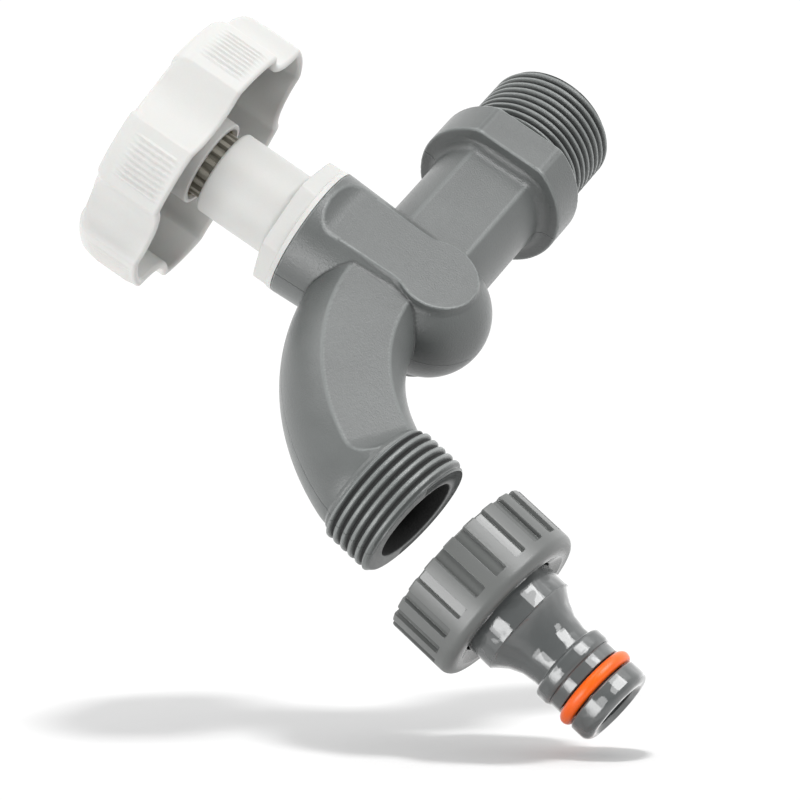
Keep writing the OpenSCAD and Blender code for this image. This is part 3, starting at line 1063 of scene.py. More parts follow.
@dataclass(frozen=True)
class BrightSteel:
    """Plain steel with fine turning marks and a little dulling."""

    name: str = "bright_steel"
    colour: Colour = (0.62, 0.62, 0.64)

    def paint(self) -> bpy.types.Material:
        """Makes the material.

        Returns:
            The material.
        """
        paint = Paint(self.name)
        marks, cloud = paint.noise(0.12, 2, (1, 1, 12)), paint.noise(2.5, 3)
        base = paint.mix((cloud * 1.2 - 0.2).held(), scaled(self.colour, 0.8), self.colour)
        paint.bump(marks, 0.01, 0.6)
        rough = 0.24 + (cloud - 0.5) * 0.2 + (marks - 0.5) * 0.1
        return paint.finish(base, rough.held(0.08, 1), Metallic=1.0)


@dataclass(frozen=True)
class Finishes:
    """Materials of the tap, by slot of the record."""

    paints: Mapping[Slot, bpy.types.Material]

    @classmethod
    def made(cls) -> "Finishes":
        """Makes every material once.

        Returns:
            The materials.
        """
        # The edge, crease and parting settings of each moulding set how much painted highlight and painted
        # shade its colour gets.
        recipes = {
            Slot.BODY: Moulding(
                "matt_grey_moulding", (0.1, 0.107, 0.105), 0.38, 0.3, 0.08, 0.38, 0.1, 0.55,
                parting=0.5, specular=0.7, crease_shade=0.6),
            Slot.WHITE: Moulding(
                "white_moulding", (0.555, 0.555, 0.54), 0.52, 0.3, 0.012, 0.35, 0.006, 0.0,
                (0.53, 0.45, 0.31), scatter=0.1),
            Slot.SPINDLE: Moulding(
                "spindle_moulding", (0.27, 0.255, 0.215), 0.4, 0.25, 0.06, 0.3, 0.01, crease_shade=0.7),
            Slot.NUT: Moulding(
                "nut_moulding", (0.118, 0.123, 0.12), 0.36, 0.08, 0.05, 0.3, 0.012, 0.45,
                specular=0.6),
            Slot.NIPPLE: Moulding(
                "nipple_moulding", (0.085, 0.091, 0.091), 0.09, 0.06, 0.03, 0.5, 0.002, 0.2,
                coat=0.85, ripple=520.0),
            Slot.RING: Rubber("orange_rubber", (0.88, 0.115, 0.002), (0.95, 0.18, 0.015), 0.34),
            Slot.SEAL: Rubber("black_rubber", (0.016, 0.016, 0.016), (0.04, 0.04, 0.042), 0.55),
            Slot.STEEL: BrightSteel(),
        }
        return cls({slot: recipe.paint() for slot, recipe in recipes.items()})

    def dress(self, node: bpy.types.Object, slot: Slot) -> None:
        """Gives a node of the frame one of the materials."""
        node.data.materials.clear()
        node.data.materials.append(self.paints[slot])


@dataclass(frozen=True)
class Thread:
    """Outside pipe thread on a plain end, as a closed ring."""

    length: float
    crest_r: float
    phase: float
    lead_in: tuple[float, float]
    chamfer: float = 0.9
    crest: float = 0.58
    root_r: float = 12.06
    mouth_r: float = 8.6
    sink: float = 0.5
    step: float = 0.13

    def height(self, angle: Array, z: Array) -> Array:
        """Height of the thread, from 0 in the root to 1 on the crest."""
        return tooth(z / PITCH - angle / (2 * math.pi) + self.phase, self.crest)

    def _shape(self, angle: Array, r: Array, z: Array) -> Pair:
        """Raises the thread and turns off its end.

        Args:
            angle: Angle of each point.
            r: Its radius.
            z: Its height.

        Returns:
            Its new radius and height.
        """
        share = np.clip((r - self.root_r + 0.12) / 0.1, 0, 1) * ease(*self.lead_in, z)
        top = r + (self.crest_r - self.root_r) * self.height(angle, z) * share
        limit = self.crest_r - np.maximum(z - (self.length - self.chamfer), 0)
        return np.minimum(top, np.maximum(limit, r)), z

    def _mark(self, angle: Array, r: Array, z: Array) -> Marks:
        """Painted highlight on the crests, painted shade in the roots and painted shade on the bore's wall.

        Args:
            angle: Angle of each point.
            r: Its radius.
            z: Its height.

        Returns:
            Values at each point: the painted crest highlight, given as the bend value, and the painted
                shade.
        """
        height = self.height(angle, z)
        outside = r > self.root_r - 0.1
        # Painted shade on the bore's wall inside the mouth.
        bore_shade = ease(self.mouth_r + 0.3, self.mouth_r + 0.02, r) * (z < self.length - 0.1)
        before_end = ease(0.0, 0.4, self.length - self.chamfer - z)
        # Painted shade in the thread roots.
        root_shade = (1 - ease(0.1, 0.7, height)) * ease(*self.lead_in, z) * before_end
        # Painted highlight: the crests are lightened through the bend value.
        return {"edge": ease(0.6, 1.0, height) * outside * 2.0,
                "deep": np.where(outside, root_shade, bore_shade)}

    def _fine(self, a: Array, b: Array) -> float:
        """Longest step of a straight run: short along the thread."""
        return self.step if min(a[0], b[0]) > self.root_r - 0.1 else Spacing.run

    def patch(self, place: Matrix) -> Patch:
        """Makes the threaded end.

        Args:
            place: Turns its axis into the row frame.

        Returns:
            The closed skin.
        """
        profile = Profile([
            (self.mouth_r + 0.1, -self.sink, 0.1), (self.root_r - 0.4, -self.sink, 0.1),
            (self.root_r, 0.1, 0.1), (self.root_r, self.length, 0.1),
            (self.mouth_r, self.length, 0.45), (self.mouth_r, 0.0, 0)])
        turned = Turned(profile, columns(216), self._shape, Spacing(fine=self._fine), self._mark)
        return turned.patch(place)


@dataclass(frozen=True)
class TapBody:
    """Moulded body: flange, pipe, valve chamber with its pads, swept spout and both threads."""

    pipe_r: float = 11.75
    pipe_half: float = 9.9
    flange_r: float = 15.6
    flange_half: float = 13.8
    flange_t: float = 8.2
    cove: float = 2.2
    rim_r: float = 13.3
    dome_r: float = 12.1
    rim_z: float = 20.9
    dome_drop: float = 6.4
    pad_half: float = 11.1
    pad_w: float = 13.0
    pad_r: float = 8.1
    pad_drop: float = 4.8
    pad_blend: float = 6.0
    pad_z: float = 13.0
    pad_top: float = 15.4
    runout: float = 5.0
    spout_r: float = 11.65
    spout_half: float = 9.7
    bore_r: float = 8.6
    chamber_r: float = 9.0
    throat: float = 3.15
    socket_r: float = 10.0
    socket_z: float = 8.4
    pocket_r: float = 11.55
    pocket_z: float = 19.3
    floor: float = 1.0
    lip_r: float = 5.3
    lip_half: float = 0.6
    lip_h: float = 0.8
    seat_r: float = 4.7
    seat_half: float = 2.4
    web_under: float = -1.2
    outlet_in: float = 0.6
    pad_fillet: float = 0.7
    spout_fillet: float = 0.3
    pipe_fillet: float = 0.35
    chamber_edge: float = 0.3
    spout_edge: float = 0.22
    pipe_edge: float = 0.25
    flange_edge: float = 0.4
    flange_rim: float = 0.45
    hollow_edge: float = 0.12
    low: Point = (-94.0, -16.4, -33.0)
    high: Point = (0.7, 16.4, 21.7)
    step: float = 0.455
    inlet_thread: Thread = Thread(17.2, 13.1, 0.1, (0.3, 1.2), sink=0.4)
    outlet_thread: Thread = Thread(PLAN.outlet_l, 12.95, 0.339, (0.5, 1.2))

    def _barrel(self, p: Array) -> Array:
        """Drafted barrel on its domed bottom.

        Args:
            p: Points, one a row.

        Returns:
            Their signed distances.
        """
        x, y, z = p[:, 0] + PLAN.reach, p[:, 1], p[:, 2] + self.dome_drop
        draft = (self.rim_r - self.dome_r) / (self.rim_z + self.dome_drop)
        side = (np.hypot(x, y) - self.dome_r - z * draft) / math.hypot(1, draft)
        return np.where(z > 0, side, np.sqrt(x * x + y * y + z * z) - self.dome_r)

    def _pad(self, p: Array) -> Array:
        """Outline of the side pads, run through the whole chamber.

        Args:
            p: Points, one a row.

        Returns:
            Their signed distances.
        """
        x, z = np.abs(p[:, 0] + PLAN.reach), p[:, 2]
        strip = np.maximum(np.maximum(x - self.pad_w / 2, z - self.pad_z), -self.pad_drop - z)
        head = np.hypot(x, z + self.pad_drop) - self.pad_r
        far = self.pad_w / 2 + self.pad_blend
        rise = math.sqrt((self.pad_r + self.pad_blend) ** 2 - far**2)
        away_x, away_z = far - x, rise - self.pad_drop - z
        between = (away_z > 0) & (away_z < away_x * rise / far)
        neck = np.where(between, self.pad_blend - np.hypot(away_x, away_z), strip)
        return np.minimum(np.minimum(strip, head), neck)

    def _runout(self, along: Array, side: Array, half: float) -> Array:
        """How far a point is outside a side flat with a hollow run-out past zero along."""
        away = np.abs(side) - half - self.runout
        return self.runout - np.where(along < 0, np.abs(away), np.hypot(along, away))

    def _centreline(self, p: Array) -> tuple[Array, Array, Array]:
        """Offset across the spout's centre line in its plane, length along it, and side.

        Args:
            p: Points, one a row.

        Returns:
            The three measures of each point.
        """
        x, z = p[:, 0] + PLAN.reach + PLAN.start, p[:, 2] - PLAN.rise + PLAN.bend_r
        angle = np.arctan2(-x, z)
        bent = np.hypot(x, z) - PLAN.bend_r
        limit = math.radians(PLAN.bend_a)
        before = x > 0
        offset = np.where(before, z - PLAN.bend_r, bent)
        length = np.where(before, -x, angle * PLAN.bend_r)
        past = (angle > limit) & ~before
        sin, cos = math.sin(limit), math.cos(limit)
        across, beyond = x + sin * PLAN.bend_r, z - cos * PLAN.bend_r
        offset = np.where(past, cos * beyond - sin * across, offset)
        length = np.where(past, limit * PLAN.bend_r - cos * across - sin * beyond, length)
        return offset, length, p[:, 1]

    def _spout(self, p: Array) -> Array:
        """Swept spout with its rounded end at the knee.

        Args:
            p: Points, one a row.

        Returns:
            Their signed distances.
        """
        offset, length, side = self._centreline(p)
        tube = np.hypot(offset, side) - self.spout_r
        end = math.radians(PLAN.bend_a) * PLAN.bend_r
        ball = np.sqrt(offset**2 + side**2 + np.maximum(length - end, 0) ** 2) - self.spout_r
        tube = np.where(length > end, ball, tube)
        return np.where(length < -PLAN.start, np.maximum(tube, -PLAN.start - length), tube)

    def _spout_flats(self, p: Array) -> Array:
        """Limit set by the side flats of the spout and their run-outs.

        Args:
            p: Points, one a row.

        Returns:
            How far they are outside the flats.
        """
        _, length, side = self._centreline(p)
        depth = self.spout_r - self.spout_half
        run = math.sqrt(self.runout**2 - (self.runout - depth) ** 2)
        stop = math.radians(PLAN.bend_a) * PLAN.bend_r - run
        return self._runout(length - stop, side, self.spout_half)

    @staticmethod
    def _ahead(p: Array) -> Array:
        """How far points lie past the knee along the outlet."""
        return (p - np.array(PLAN.knee)) @ PLAN.down

    def _hollow(self, p: Array) -> Array:
        """Waterway: both chambers, the seat between them and both bores.

        Args:
            p: Points, one a row.

        Returns:
            Their signed distances.
        """
        x, y, z = p[:, 0] + PLAN.reach, p[:, 1], p[:, 2]
        rho = np.hypot(x, y)
        offset, length, side = self._centreline(p)
        throat = self.chamber_r + self.throat - rho
        spout = np.maximum(np.hypot(offset, side) - self.bore_r, -PLAN.start - length)
        spout = np.maximum(spout, np.minimum(throat, self.floor - z))
        inlet = np.maximum(np.hypot(y, z) - self.bore_r, -x)
        inlet = np.maximum(inlet, np.minimum(throat, z - self.web_under))
        upper = np.maximum(rho - self.chamber_r, self.floor - z)
        lip = np.maximum(np.abs(rho - self.lip_r) - self.lip_half, z - self.floor - self.lip_h)
        upper = np.maximum(upper, -lip)
        socket = np.maximum(rho - self.socket_r, self.socket_z - z)
        pocket = np.maximum(rho - self.pocket_r, self.pocket_z - z)
        drop = z + self.dome_drop
        bowl = np.where(drop > 0, rho, np.sqrt(rho**2 + drop**2)) - self.chamber_r
        lower = np.maximum(bowl, z - self.web_under)
        seat = np.maximum(rho - self.seat_r, np.abs(z) - self.seat_half)
        found = spout
        for other in (inlet, upper, socket, pocket, lower, seat):
            found = np.minimum(found, other)
        ahead = self._ahead(p)
        from_knee = p - np.array(PLAN.knee)
        out = np.linalg.norm(from_knee - ahead[:, None] * PLAN.down, axis=1) - self.bore_r
        return np.minimum(found, np.maximum(out, -ahead))

    def _waterway_shade(self, p: Array) -> Array:
        """Painted shade: value that is 1 on the inside walls, which the material darkens almost to black.
        """
        return ease(0.35, 0.05, np.abs(self._hollow(p)))

    def solid(self) -> Solid:
        """The whole body but its two threads.

        Returns:
            The body as a distance field.
        """
        flats = Solid(lambda p: self._runout(p[:, 2] - self.pad_top, p[:, 1], self.pad_half))
        rim = Solid(lambda p: p[:, 2] - self.rim_z)
        chamber = Solid(self._barrel).join(Solid(self._pad), self.pad_fillet)
        chamber = chamber.meet(flats, self.chamber_edge).meet(rim, self.chamber_edge)
        spout = Solid(self._spout).meet(Solid(self._spout_flats), self.spout_edge)
        spout = spout.meet(Solid(lambda p: self._ahead(p) - self.outlet_in))
        pipe = self._flatted(self.pipe_r, self.pipe_half, self.pipe_edge)
        pipe = pipe.meet(Solid(lambda p: np.abs(p[:, 0] + PLAN.reach / 2 + 1) - PLAN.reach / 2 + 1))
        flange = self._flatted(self.flange_r, self.flange_half, self.flange_edge)
        half = self.flange_t / 2
        flange = flange.meet(Solid(lambda p: np.abs(p[:, 0] + half) - half), self.flange_rim)
        whole = chamber.join(spout, self.spout_fillet)
        whole = whole.join(pipe.join(flange, self.cove), self.pipe_fillet)
        return whole.cut(Solid(self._hollow), self.hollow_edge)

    @staticmethod
    def _flatted(radius: float, half: float, edge: float) -> Solid:
        """Round bar along X with a flat on each side.

        Args:
            radius: Radius of the bar.
            half: Distance of the flats from the axis.
            edge: Radius of their edges.

        Returns:
            The endless bar.
        """
        bar = Solid(lambda p: np.hypot(p[:, 1], p[:, 2]) - radius)
        return bar.meet(Solid(lambda p: np.abs(p[:, 1]) - half), edge)

    def build(self, finishes: Finishes) -> None:
        """Makes the body's pieces.

        Args:
            finishes: The materials.
        """
        # The waterway's walls get painted shade.
        net = Net(self.solid(), self.low, self.high, self.step, {"deep": self._waterway_shade})
        Maker.make("tap_body_moulding", [net.patch()], finishes, Slot.BODY, Part.HOUSING, "tap_body")
        ends = {"inlet_thread": self.inlet_thread.patch(PLAN.inlet),
                "outlet_thread": self.outlet_thread.patch(PLAN.outlet)}
        for name, patch in ends.items():
            Maker.make(name, [patch], finishes, Slot.BODY, Part.HOUSING)


@dataclass(frozen=True)
class Bonnet:
    """White bonnet: collar, hexagon with turned corners, and the sleeve of the spindle."""

    collar_r: float = 13.3
    collar_z: float = 20.9
    hex_r: float = 13.05
    hex_half: float = 11.43
    hex_z: float = 22.0
    top_z: float = 25.7
    sleeve_r: float = 8.7
    sleeve_z: float = 41.8
    plug_r: float = 9.92
    foot_r: float = 7.98
    foot_z: float = 8.75
    bore_r: float = 7.18
    turn: float = 19.0
    corner: float = 0.3

    def _shape(self, angle: Array, r: Array, z: Array) -> Pair:
        """Draws the hexagon's rows in to its flats and turns off its corners.

        Args:
            angle: Angle of each point.
            r: Its radius.
            z: Its height.

        Returns:
            Its new radius and height.
        """
        fold = np.abs((np.degrees(angle) - self.turn) % 60 - 30)
        flat = self.hex_half / np.cos(np.radians(fold))
        flat = soft_least(flat, np.full_like(angle, self.hex_r), 0.25)
        here = (z > self.hex_z - 1e-4) & (z < self.top_z + 0.01) & (r < self.hex_r + 1e-3)
        drawn = (self.hex_r - flat) * np.clip((r - 10.0) / (12.5 - 10.0), 0, 1)
        r = np.where(here, r - drawn, r)
        lid = self.top_z - np.maximum(r - 12.0, 0) * self.corner
        return r, np.where(here & (z > self.hex_z + 1), soft_least(z, lid + 0.05, 0.2), z)

    def build(self, finishes: Finishes) -> None:
        """Makes the bonnet.

        Args:
            finishes: The materials.
        """
        profile = Profile([
            (self.foot_r, self.foot_z, 0.2), (self.plug_r, self.foot_z, 0.5),
            (self.plug_r, self.collar_z, 0.1), (self.collar_r, self.collar_z, 0.12),
            (self.collar_r, self.hex_z, 0.2), (self.hex_r, self.hex_z, 0),
            (self.hex_r, self.top_z, 0.35), (self.sleeve_r, self.top_z, 1.5),
            (self.sleeve_r, self.sleeve_z, 0.8), (self.bore_r + 0.32, self.sleeve_z, 0.1),
            (self.bore_r, self.sleeve_z - 0.4, 0.1), (self.bore_r, self.collar_z, 0.1),
            (self.foot_r, self.collar_z, 0.1)])
        corners = near_each(6, self.turn, np.arange(-3, 3.1, 0.5))
        turned = Turned(profile, columns(180, corners), self._shape, Spacing(2.0))
        Maker.make("bonnet_moulding", [turned.patch(PLAN.spindle)], finishes, Slot.WHITE,
                   Part.HOUSING, "bonnet")


@dataclass(frozen=True)
class Spline:
    """Teeth between the spindle and the wheel."""

    teeth: int = 18
    turn: float = 11.0
    width: float = 1.0
    tip: float = 6.9
    root: float = 5.9

    def away(self, angle: Array, r: float) -> Array:
        """Distance from the middle of the nearest tooth, in millimetres at a radius."""
        return np.abs(from_nearest(angle, self.teeth, self.turn)) * math.radians(1) * r

    def angles(self) -> list[float]:
        """Angles close to the flanks of the teeth, in degrees.

        Returns:
            The angles.
        """
        half = math.degrees(self.width / 2 / self.tip)
        near = [side * half + d for side in (-1, 1) for d in (-1.2, -0.8, -0.4, 0, 0.4, 0.8, 1.2)]
        return near_each(self.teeth, self.turn, near)


@dataclass(frozen=True)
class Spindle:
    """Rising spindle with two ring grooves and the splined head."""

    foot_r: float = 7.9
    foot_z: tuple[float, float] = (6.55, 16.05)
    hole_r: float = 3.08
    hole_z: float = 13.5
    stem_r: float = 7.1
    grooves: tuple[float, float] = (31.5, 35.1)
    groove_r: float = 5.6
    groove_half: float = 0.9
    head_z: tuple[float, float] = (41.9, 52.5)
    screw_r: float = 2.08
    screw_z: float = 43.5
    spline: Spline = Spline()

    def _shape(self, angle: Array, r: Array, z: Array) -> Pair:
        """Cuts the gaps between the teeth.

        Args:
            angle: Angle of each point.
            r: Its radius.
            z: Its height.

        Returns:
            Its new radius and height.
        """
        away = self.spline.away(angle, self.spline.tip)
        gap = ease(self.spline.width / 2 - 0.12, self.spline.width / 2 + 0.14, away)
        depth = (self.spline.tip - self.spline.root) * gap
        head = (z > self.head_z[0] - 1e-4) & (r < self.spline.tip + 1e-3) & (r > self.screw_r + 0.22)
        return np.where(head, r - depth * np.clip((r - 4.5) / 1.4, 0, 1), r), z

    def build(self, finishes: Finishes) -> None:
        """Makes the spindle.

        Args:
            finishes: The materials.
        """
        (foot, shoulder), (neck, top) = self.foot_z, self.head_z
        corners = [(0, self.hole_z, 0), (self.hole_r, self.hole_z, 0), (self.hole_r, foot, 0.2),
                   (self.foot_r, foot, 0.3), (self.foot_r, shoulder, 0.4), (self.stem_r, shoulder, 0)]
        for middle in self.grooves:
            start, stop = middle - self.groove_half, middle + self.groove_half
            corners += [(self.stem_r, start, 0.12), (self.groove_r, start, 0.15),
                        (self.groove_r, stop, 0.15), (self.stem_r, stop, 0.12)]
        corners += [(self.stem_r, neck, 0.1), (self.spline.tip, neck, 0), (self.spline.tip, top, 0.25),
                    (self.screw_r, top, 0.15), (self.screw_r, self.screw_z, 0), (0, self.screw_z, 0)]
        turned = Turned(Profile(corners, closed=False), columns(72, self.spline.angles()), self._shape)
        Maker.make("spindle_moulding", [turned.patch(PLAN.spindle)], finishes, Slot.SPINDLE,
                   Part.WHEEL, "spindle")


@dataclass(frozen=True)
class Handwheel:
    """White handwheel: six ribbed lobes, scallops between them, and a splined hub."""

    radius: float = 27.4
    turn: float = 34.2
    lobes: int = 6
    scallop_r: float = 10.0
    scallop_at: float = 33.6
    wall: float = 1.6
    low: float = 42.3
    rim: float = 0.8
    crown_z: float = 56.0
    grip_z: tuple[float, float] = (43.6, 53.6)
    ribs: int = 9
    rib_pitch: float = 2.26
    rib_h: float = 0.3
    valley: float = 0.5
    bore_r: float = 6.96
    bore_z: tuple[float, float] = (45.7, 52.6)
    tooth_r: float = 7.2
    spline: Spline = Spline()

    def _fold(self, angle: Array) -> Array:
        """Angle from the middle of the nearest lobe, in degrees."""
        return from_nearest(angle, self.lobes, self.turn)

    def _scallop(self, angle: Array, inset: Array) -> Array:
        """Radius at which the scallop's wall stands, far out on the lobes.

        Args:
            angle: Angles round the wheel.
            inset: How far inside the outer skin.

        Returns:
            The radii.
        """
        away = np.radians(180 / self.lobes - np.abs(self._fold(angle)))
        reach = (self.scallop_r + inset) ** 2 - (self.scallop_at * np.sin(away)) ** 2
        near = self.scallop_at * np.cos(away) - np.sqrt(np.maximum(reach, 0))
        return np.where(reach > 0, near, self.radius + 8)

    def _ribbed(self, angle: Array, z: Array) -> Array:
        """Height of the grip ribs.

        Args:
            angle: Angle of each point.
            z: Its height.

        Returns:
            Height above the skin.
        """
        fold = self._fold(angle)
        phase = fold / self.rib_pitch
        wave = np.cos(np.pi * (phase - np.round(phase))) ** 2.2
        span = (self.ribs / 2) * self.rib_pitch
        low, high = self.grip_z
        ends = ease(low, low + 1.1, z) * ease(high, high - 1.4, z)
        return self.rib_h * wave * ease(span + 0.15, span - 0.15, np.abs(fold)) * ends

    def _skirt(self, angle: Array, r: Array, z: Array) -> Pair:
        """Draws the skirt in to the scallops and raises the ribs.

        Args:
            angle: Angle of each point.
            r: Its radius.
            z: Its height.

        Returns:
            Its new radius and height.
        """
        above = z > self.low + self.rim
        under = (r <= self.radius - self.wall + 1e-3) & above & (z <= self.crown_z)
        inset = np.where(under, self.wall, np.clip(self.radius - r, 0, self.wall) * ~above)
        wall = self._scallop(angle, inset)
        shaped = np.where(r > 15, soft_least(r, wall, 1.1), r)
        ribs = self._ribbed(angle, z) * (r > self.radius - 0.6)
        dip = self.valley * ease(14.2, 16.8, np.abs(self._fold(angle))) * ease(13.0, 22.5, r)
        return shaped + ribs, z - dip * ease(52.0, 55.0, z)

    def _bore(self, angle: Array, r: Array, z: Array) -> Pair:
        """Teeth inside the hub, which fit between the spindle's.

        Args:
            angle: Angle of each point.
            r: Its radius.
            z: Its height.

        Returns:
            Its new radius and height.
        """
        away = self.spline.away(angle, self.bore_r)
        land = ease(self.spline.width / 2 - 0.02, self.spline.width / 2 + 0.2, away)
        low, high = self.bore_z
        inside = (z > low - 1e-3) & (z < high + 1e-3) & (r < self.tooth_r)
        rising, falling = (r - 3.5) / (self.bore_r - 3.5), (self.tooth_r - r) / (self.tooth_r - self.bore_r)
        share = np.where(r > self.bore_r, falling, np.clip(rising, 0, 1))
        return np.where(inside, r - land * np.clip(share, 0, 1), r), z

    @staticmethod
    def _bore_mark(angle: Array, r: Array, z: Array) -> Marks:
        """Cream edge of the counterbore."""
        return {"tint": ease(8.05, 7.6, r) * ease(46.5, 45.0, z) * 0.75}

    def build(self, finishes: Finishes) -> None:
        """Makes the wheel and its cap.

        Args:
            finishes: The materials.
        """
        inner = self.radius - self.wall
        shell = Profile([
            (7.1, 56.65, 0.05), (7.1, 58.29, 0.15), (15.4, 57.88, 80), (self.radius, 56.97, 4.15),
            (self.radius, self.low, 0.78), (inner, self.low, 0.78), (inner, 55.35, 3.3),
            (15.0, 56.28, 60), (9.4, 56.58, 0.1), (8.6, 56.65, 0.1)])
        low, high = self.bore_z
        hub = Profile([
            (6.0, 56.8, 0.05), (7.6, 56.8, 0.0), (7.6, 57.0, 0.0), (8.9, 57.0, 0.05), (8.9, 44.1, 0.35),
            (8.0, 44.1, 0.18), (7.3, 44.8, 0.15), (7.3, low, 0.1), (self.bore_r, low, 0),
            (self.bore_r, high, 0), (2.3, high, 0.1), (2.3, 54.2, 0.1), (6.0, 54.2, 0.2)])
        fine = np.concatenate([np.arange(-18, -11, 0.8), np.arange(-11, 11.01, 0.32),
                               np.arange(11.6, 18.1, 0.8)])
        angles = near_each(self.lobes, self.turn, fine)
        skirt = Turned(shell, columns(60, angles), self._skirt, Spacing(1.8, 0.17))
        bore = Turned(hub, columns(72, self.spline.angles()), self._bore, mark=self._bore_mark)
        Maker.make("handwheel_moulding", [skirt.patch(PLAN.spindle), bore.patch(PLAN.spindle)],
                   finishes, Slot.WHITE, Part.WHEEL, "handwheel")
        cap = Profile([
            (0, 58.26, 0), (5.4, 58.3, 3), (7.0, 58.38, 0.4), (7.0, 56.85, 0.1), (5.9, 56.85, 0),
            (5.9, 56.1, 0.2), (4.9, 56.1, 0.2), (4.9, 56.85, 0), (0, 56.85, 0)], closed=False)
        Maker.make("wheel_cap_moulding", [Turned(cap, columns(96)).patch(PLAN.spindle)],
                   finishes, Slot.WHITE, Part.WHEEL, "wheel_cap")


@dataclass(frozen=True)
class UnionNut:
    """Union nut with grip slots open at its mouth and a thread inside."""

    radius: float = 16.5
    length: float = 13.9
    slots: int = 20
    slot_turn: float = 5.0
    slot_w: float = 2.5
    slot_depth: float = 0.85
    slot_round: float = 0.3
    slot_l: float = 10.5
    flank: float = 4.34
    shoulder: float = 1.9
    phase: float = 0.339
    thread_r: float = 13.3
    thread_h: float = 1.12
    thread_z: float = 11.45
    thread_step: float = 0.15
    rib_step: float = 0.2
    bore_r: float = 10.55

    def _slot(self, angle: Array, z: Array) -> Array:
        """How far a point is inside a slot: 0 on a rib, 1 on a slot's floor.

        Args:
            angle: Angle of each point.
            z: Its height.

        Returns:
            The share of the depth.
        """
        across = np.abs(from_nearest(angle, self.slots, self.slot_turn))
        across = across * math.radians(1) * self.radius - (self.slot_w / 2 - self.slot_round)
        past = z - (self.slot_l - self.slot_round)
        away = np.hypot(np.maximum(across, 0), np.maximum(past, 0))
        away = away + np.minimum(np.maximum(across, past), 0) - self.slot_round
        return ease(0.08, -0.08, away)

    def _shape(self, angle: Array, r: Array, z: Array) -> Pair:
        """Cuts the slots and raises the thread inside.

        Args:
            angle: Angle of each point.
            r: Its radius.
            z: Its height.

        Returns:
            Its new radius and height.
        """
        grip = np.where(r > 14.2, self._slot(angle, z) * np.clip((r - 14.2) / 1.4, 0, 1), 0)
        along = z + PLAN.outlet_l + PLAN.gap - PLAN.slide
        turns = along / PITCH - angle / (2 * math.pi) + self.phase + 0.5
        wave = tooth(turns, 0.36) * ease(0.7, 1.9, z) * ease(6.9, 6.2, z)
        inside = (np.abs(r - self.thread_r) < 0.01) & (z > 0.6) & (z < 7)
        return r - grip * self.slot_depth - np.where(inside, wave * self.thread_h, 0), z

    def _mark(self, angle: Array, r: Array, z: Array) -> Marks:
        """Polished floors of the slots, a polished end face, and a painted highlight along the slots'
        edges.

        Args:
            angle: Angle of each point.
            r: Its radius.
            z: Its height.

        Returns:
            Values "polish" and "edge" at each point.
        """
        floor = self._slot(angle, z) * (r > 15)
        face = (z > self.length - 1) * ease(14.0, 12.6, r)
        # The bend value here is a painted highlight: pale lines along the slots' edges.
        return {"polish": np.maximum(ease(0.6, 1, floor), face), "edge": floor * (1 - floor) * 4.8}

    def build(self, finishes: Finishes) -> None:
        """Makes the nut.

        Args:
            finishes: The materials.
        """
        profile = Profile([
            (self.thread_r, 0.5, 0.1), (13.75, 0.0, 0.15), (self.radius, 0.0, 0.35),
            (self.radius, self.length, self.shoulder), (12.95, self.length, 0.45),
            (self.bore_r + 0.15, self.length - 0.85, 0.15), (self.bore_r, self.length - 1.0, 0.1),
            (self.bore_r, self.thread_z, 0.1), (self.thread_r, self.thread_z, 0.25)])
        near = (-1.6, -1.1, -0.7, -0.4, -0.25, -0.1, 0.05, 0.2, 0.4, 0.7)
        near = [side * self.flank + offset for side in (-1, 1) for offset in near]
        edges = near_each(self.slots, self.slot_turn, near)

        def fine(a: Array, b: Array) -> float:
            """Longest step of a straight run: short in the thread and on the ribs.

            Args:
                a: One end of the run.
                b: The other end.

            Returns:
                The step.
            """
            if abs(a[0] - self.thread_r) < 0.01 and abs(b[0] - self.thread_r) < 0.01:
                return self.thread_step
            return self.rib_step if min(a[0], b[0]) > self.radius - 0.5 else Spacing.run

        turned = Turned(profile, columns(100, edges), self._shape, Spacing(fine=fine), self._mark)
        Maker.make("union_nut_moulding", [turned.patch(PLAN.adaptor)], finishes, Slot.NUT,
                   Part.NUT, "union_nut")


@dataclass(frozen=True)
class HoseNipple:
    """Hose nipple with its sealing ring."""

    lip_r: float = 12.6
    collar_r: float = 10.2
    waist_r: float = 6.6
    tip_r: float = 8.0
    bore_r: float = 4.8
    ring_r: float = 8.45
    ring_t: float = 2.5

    def build(self, finishes: Finishes) -> None:
        """Makes the nipple and the ring.

        Args:
            finishes: The materials.
        """
        profile = Profile([
            (7.6, 9.1, 0.1), (self.lip_r, 9.1, 0.2), (self.lip_r, 11.4, 0.25),
            (self.collar_r, 11.4, 0.15), (self.collar_r, 18.2, 0.18), (9.85, 18.42, 0.1),
            (self.waist_r, 21.53, 10.2), (self.waist_r, 27.2, 0.3),
            (self.tip_r, 27.2, 0.75), (self.tip_r, 30.4, 1.15), (7.45, 30.55, 0.3), (7.45, 32.8, 0.15),
            (5.95, 32.8, 0.2), (5.95, 35.9, 0.2), (self.tip_r, 35.9, 0.45), (self.tip_r, 40.1, 1.6),
            (5.8, 40.1, 0.15), (self.bore_r, 39.3, 0.2), (self.bore_r, 15.1, 2.0)])
        turned = Turned(profile, columns(144), spacing=Spacing(0.8))
        Maker.make("hose_nipple_moulding", [turned.patch(PLAN.adaptor)], finishes, Slot.NIPPLE,
                   Part.ADAPTOR, "hose_nipple")
        mid, half, z = self.ring_r - self.ring_t / 2, self.ring_t / 2, 34.35
        ring = Profile([
            (mid - half, z - half, half - 0.01), (mid + half, z - half, half - 0.01),
            (mid + half, z + half, half - 0.01), (mid - half, z + half, half - 0.01)])
        turned = Turned(ring, columns(144))
        Maker.make("nipple_ring_rubber", [turned.patch(PLAN.adaptor)], finishes, Slot.RING,
                   Part.ADAPTOR, "nipple_ring")


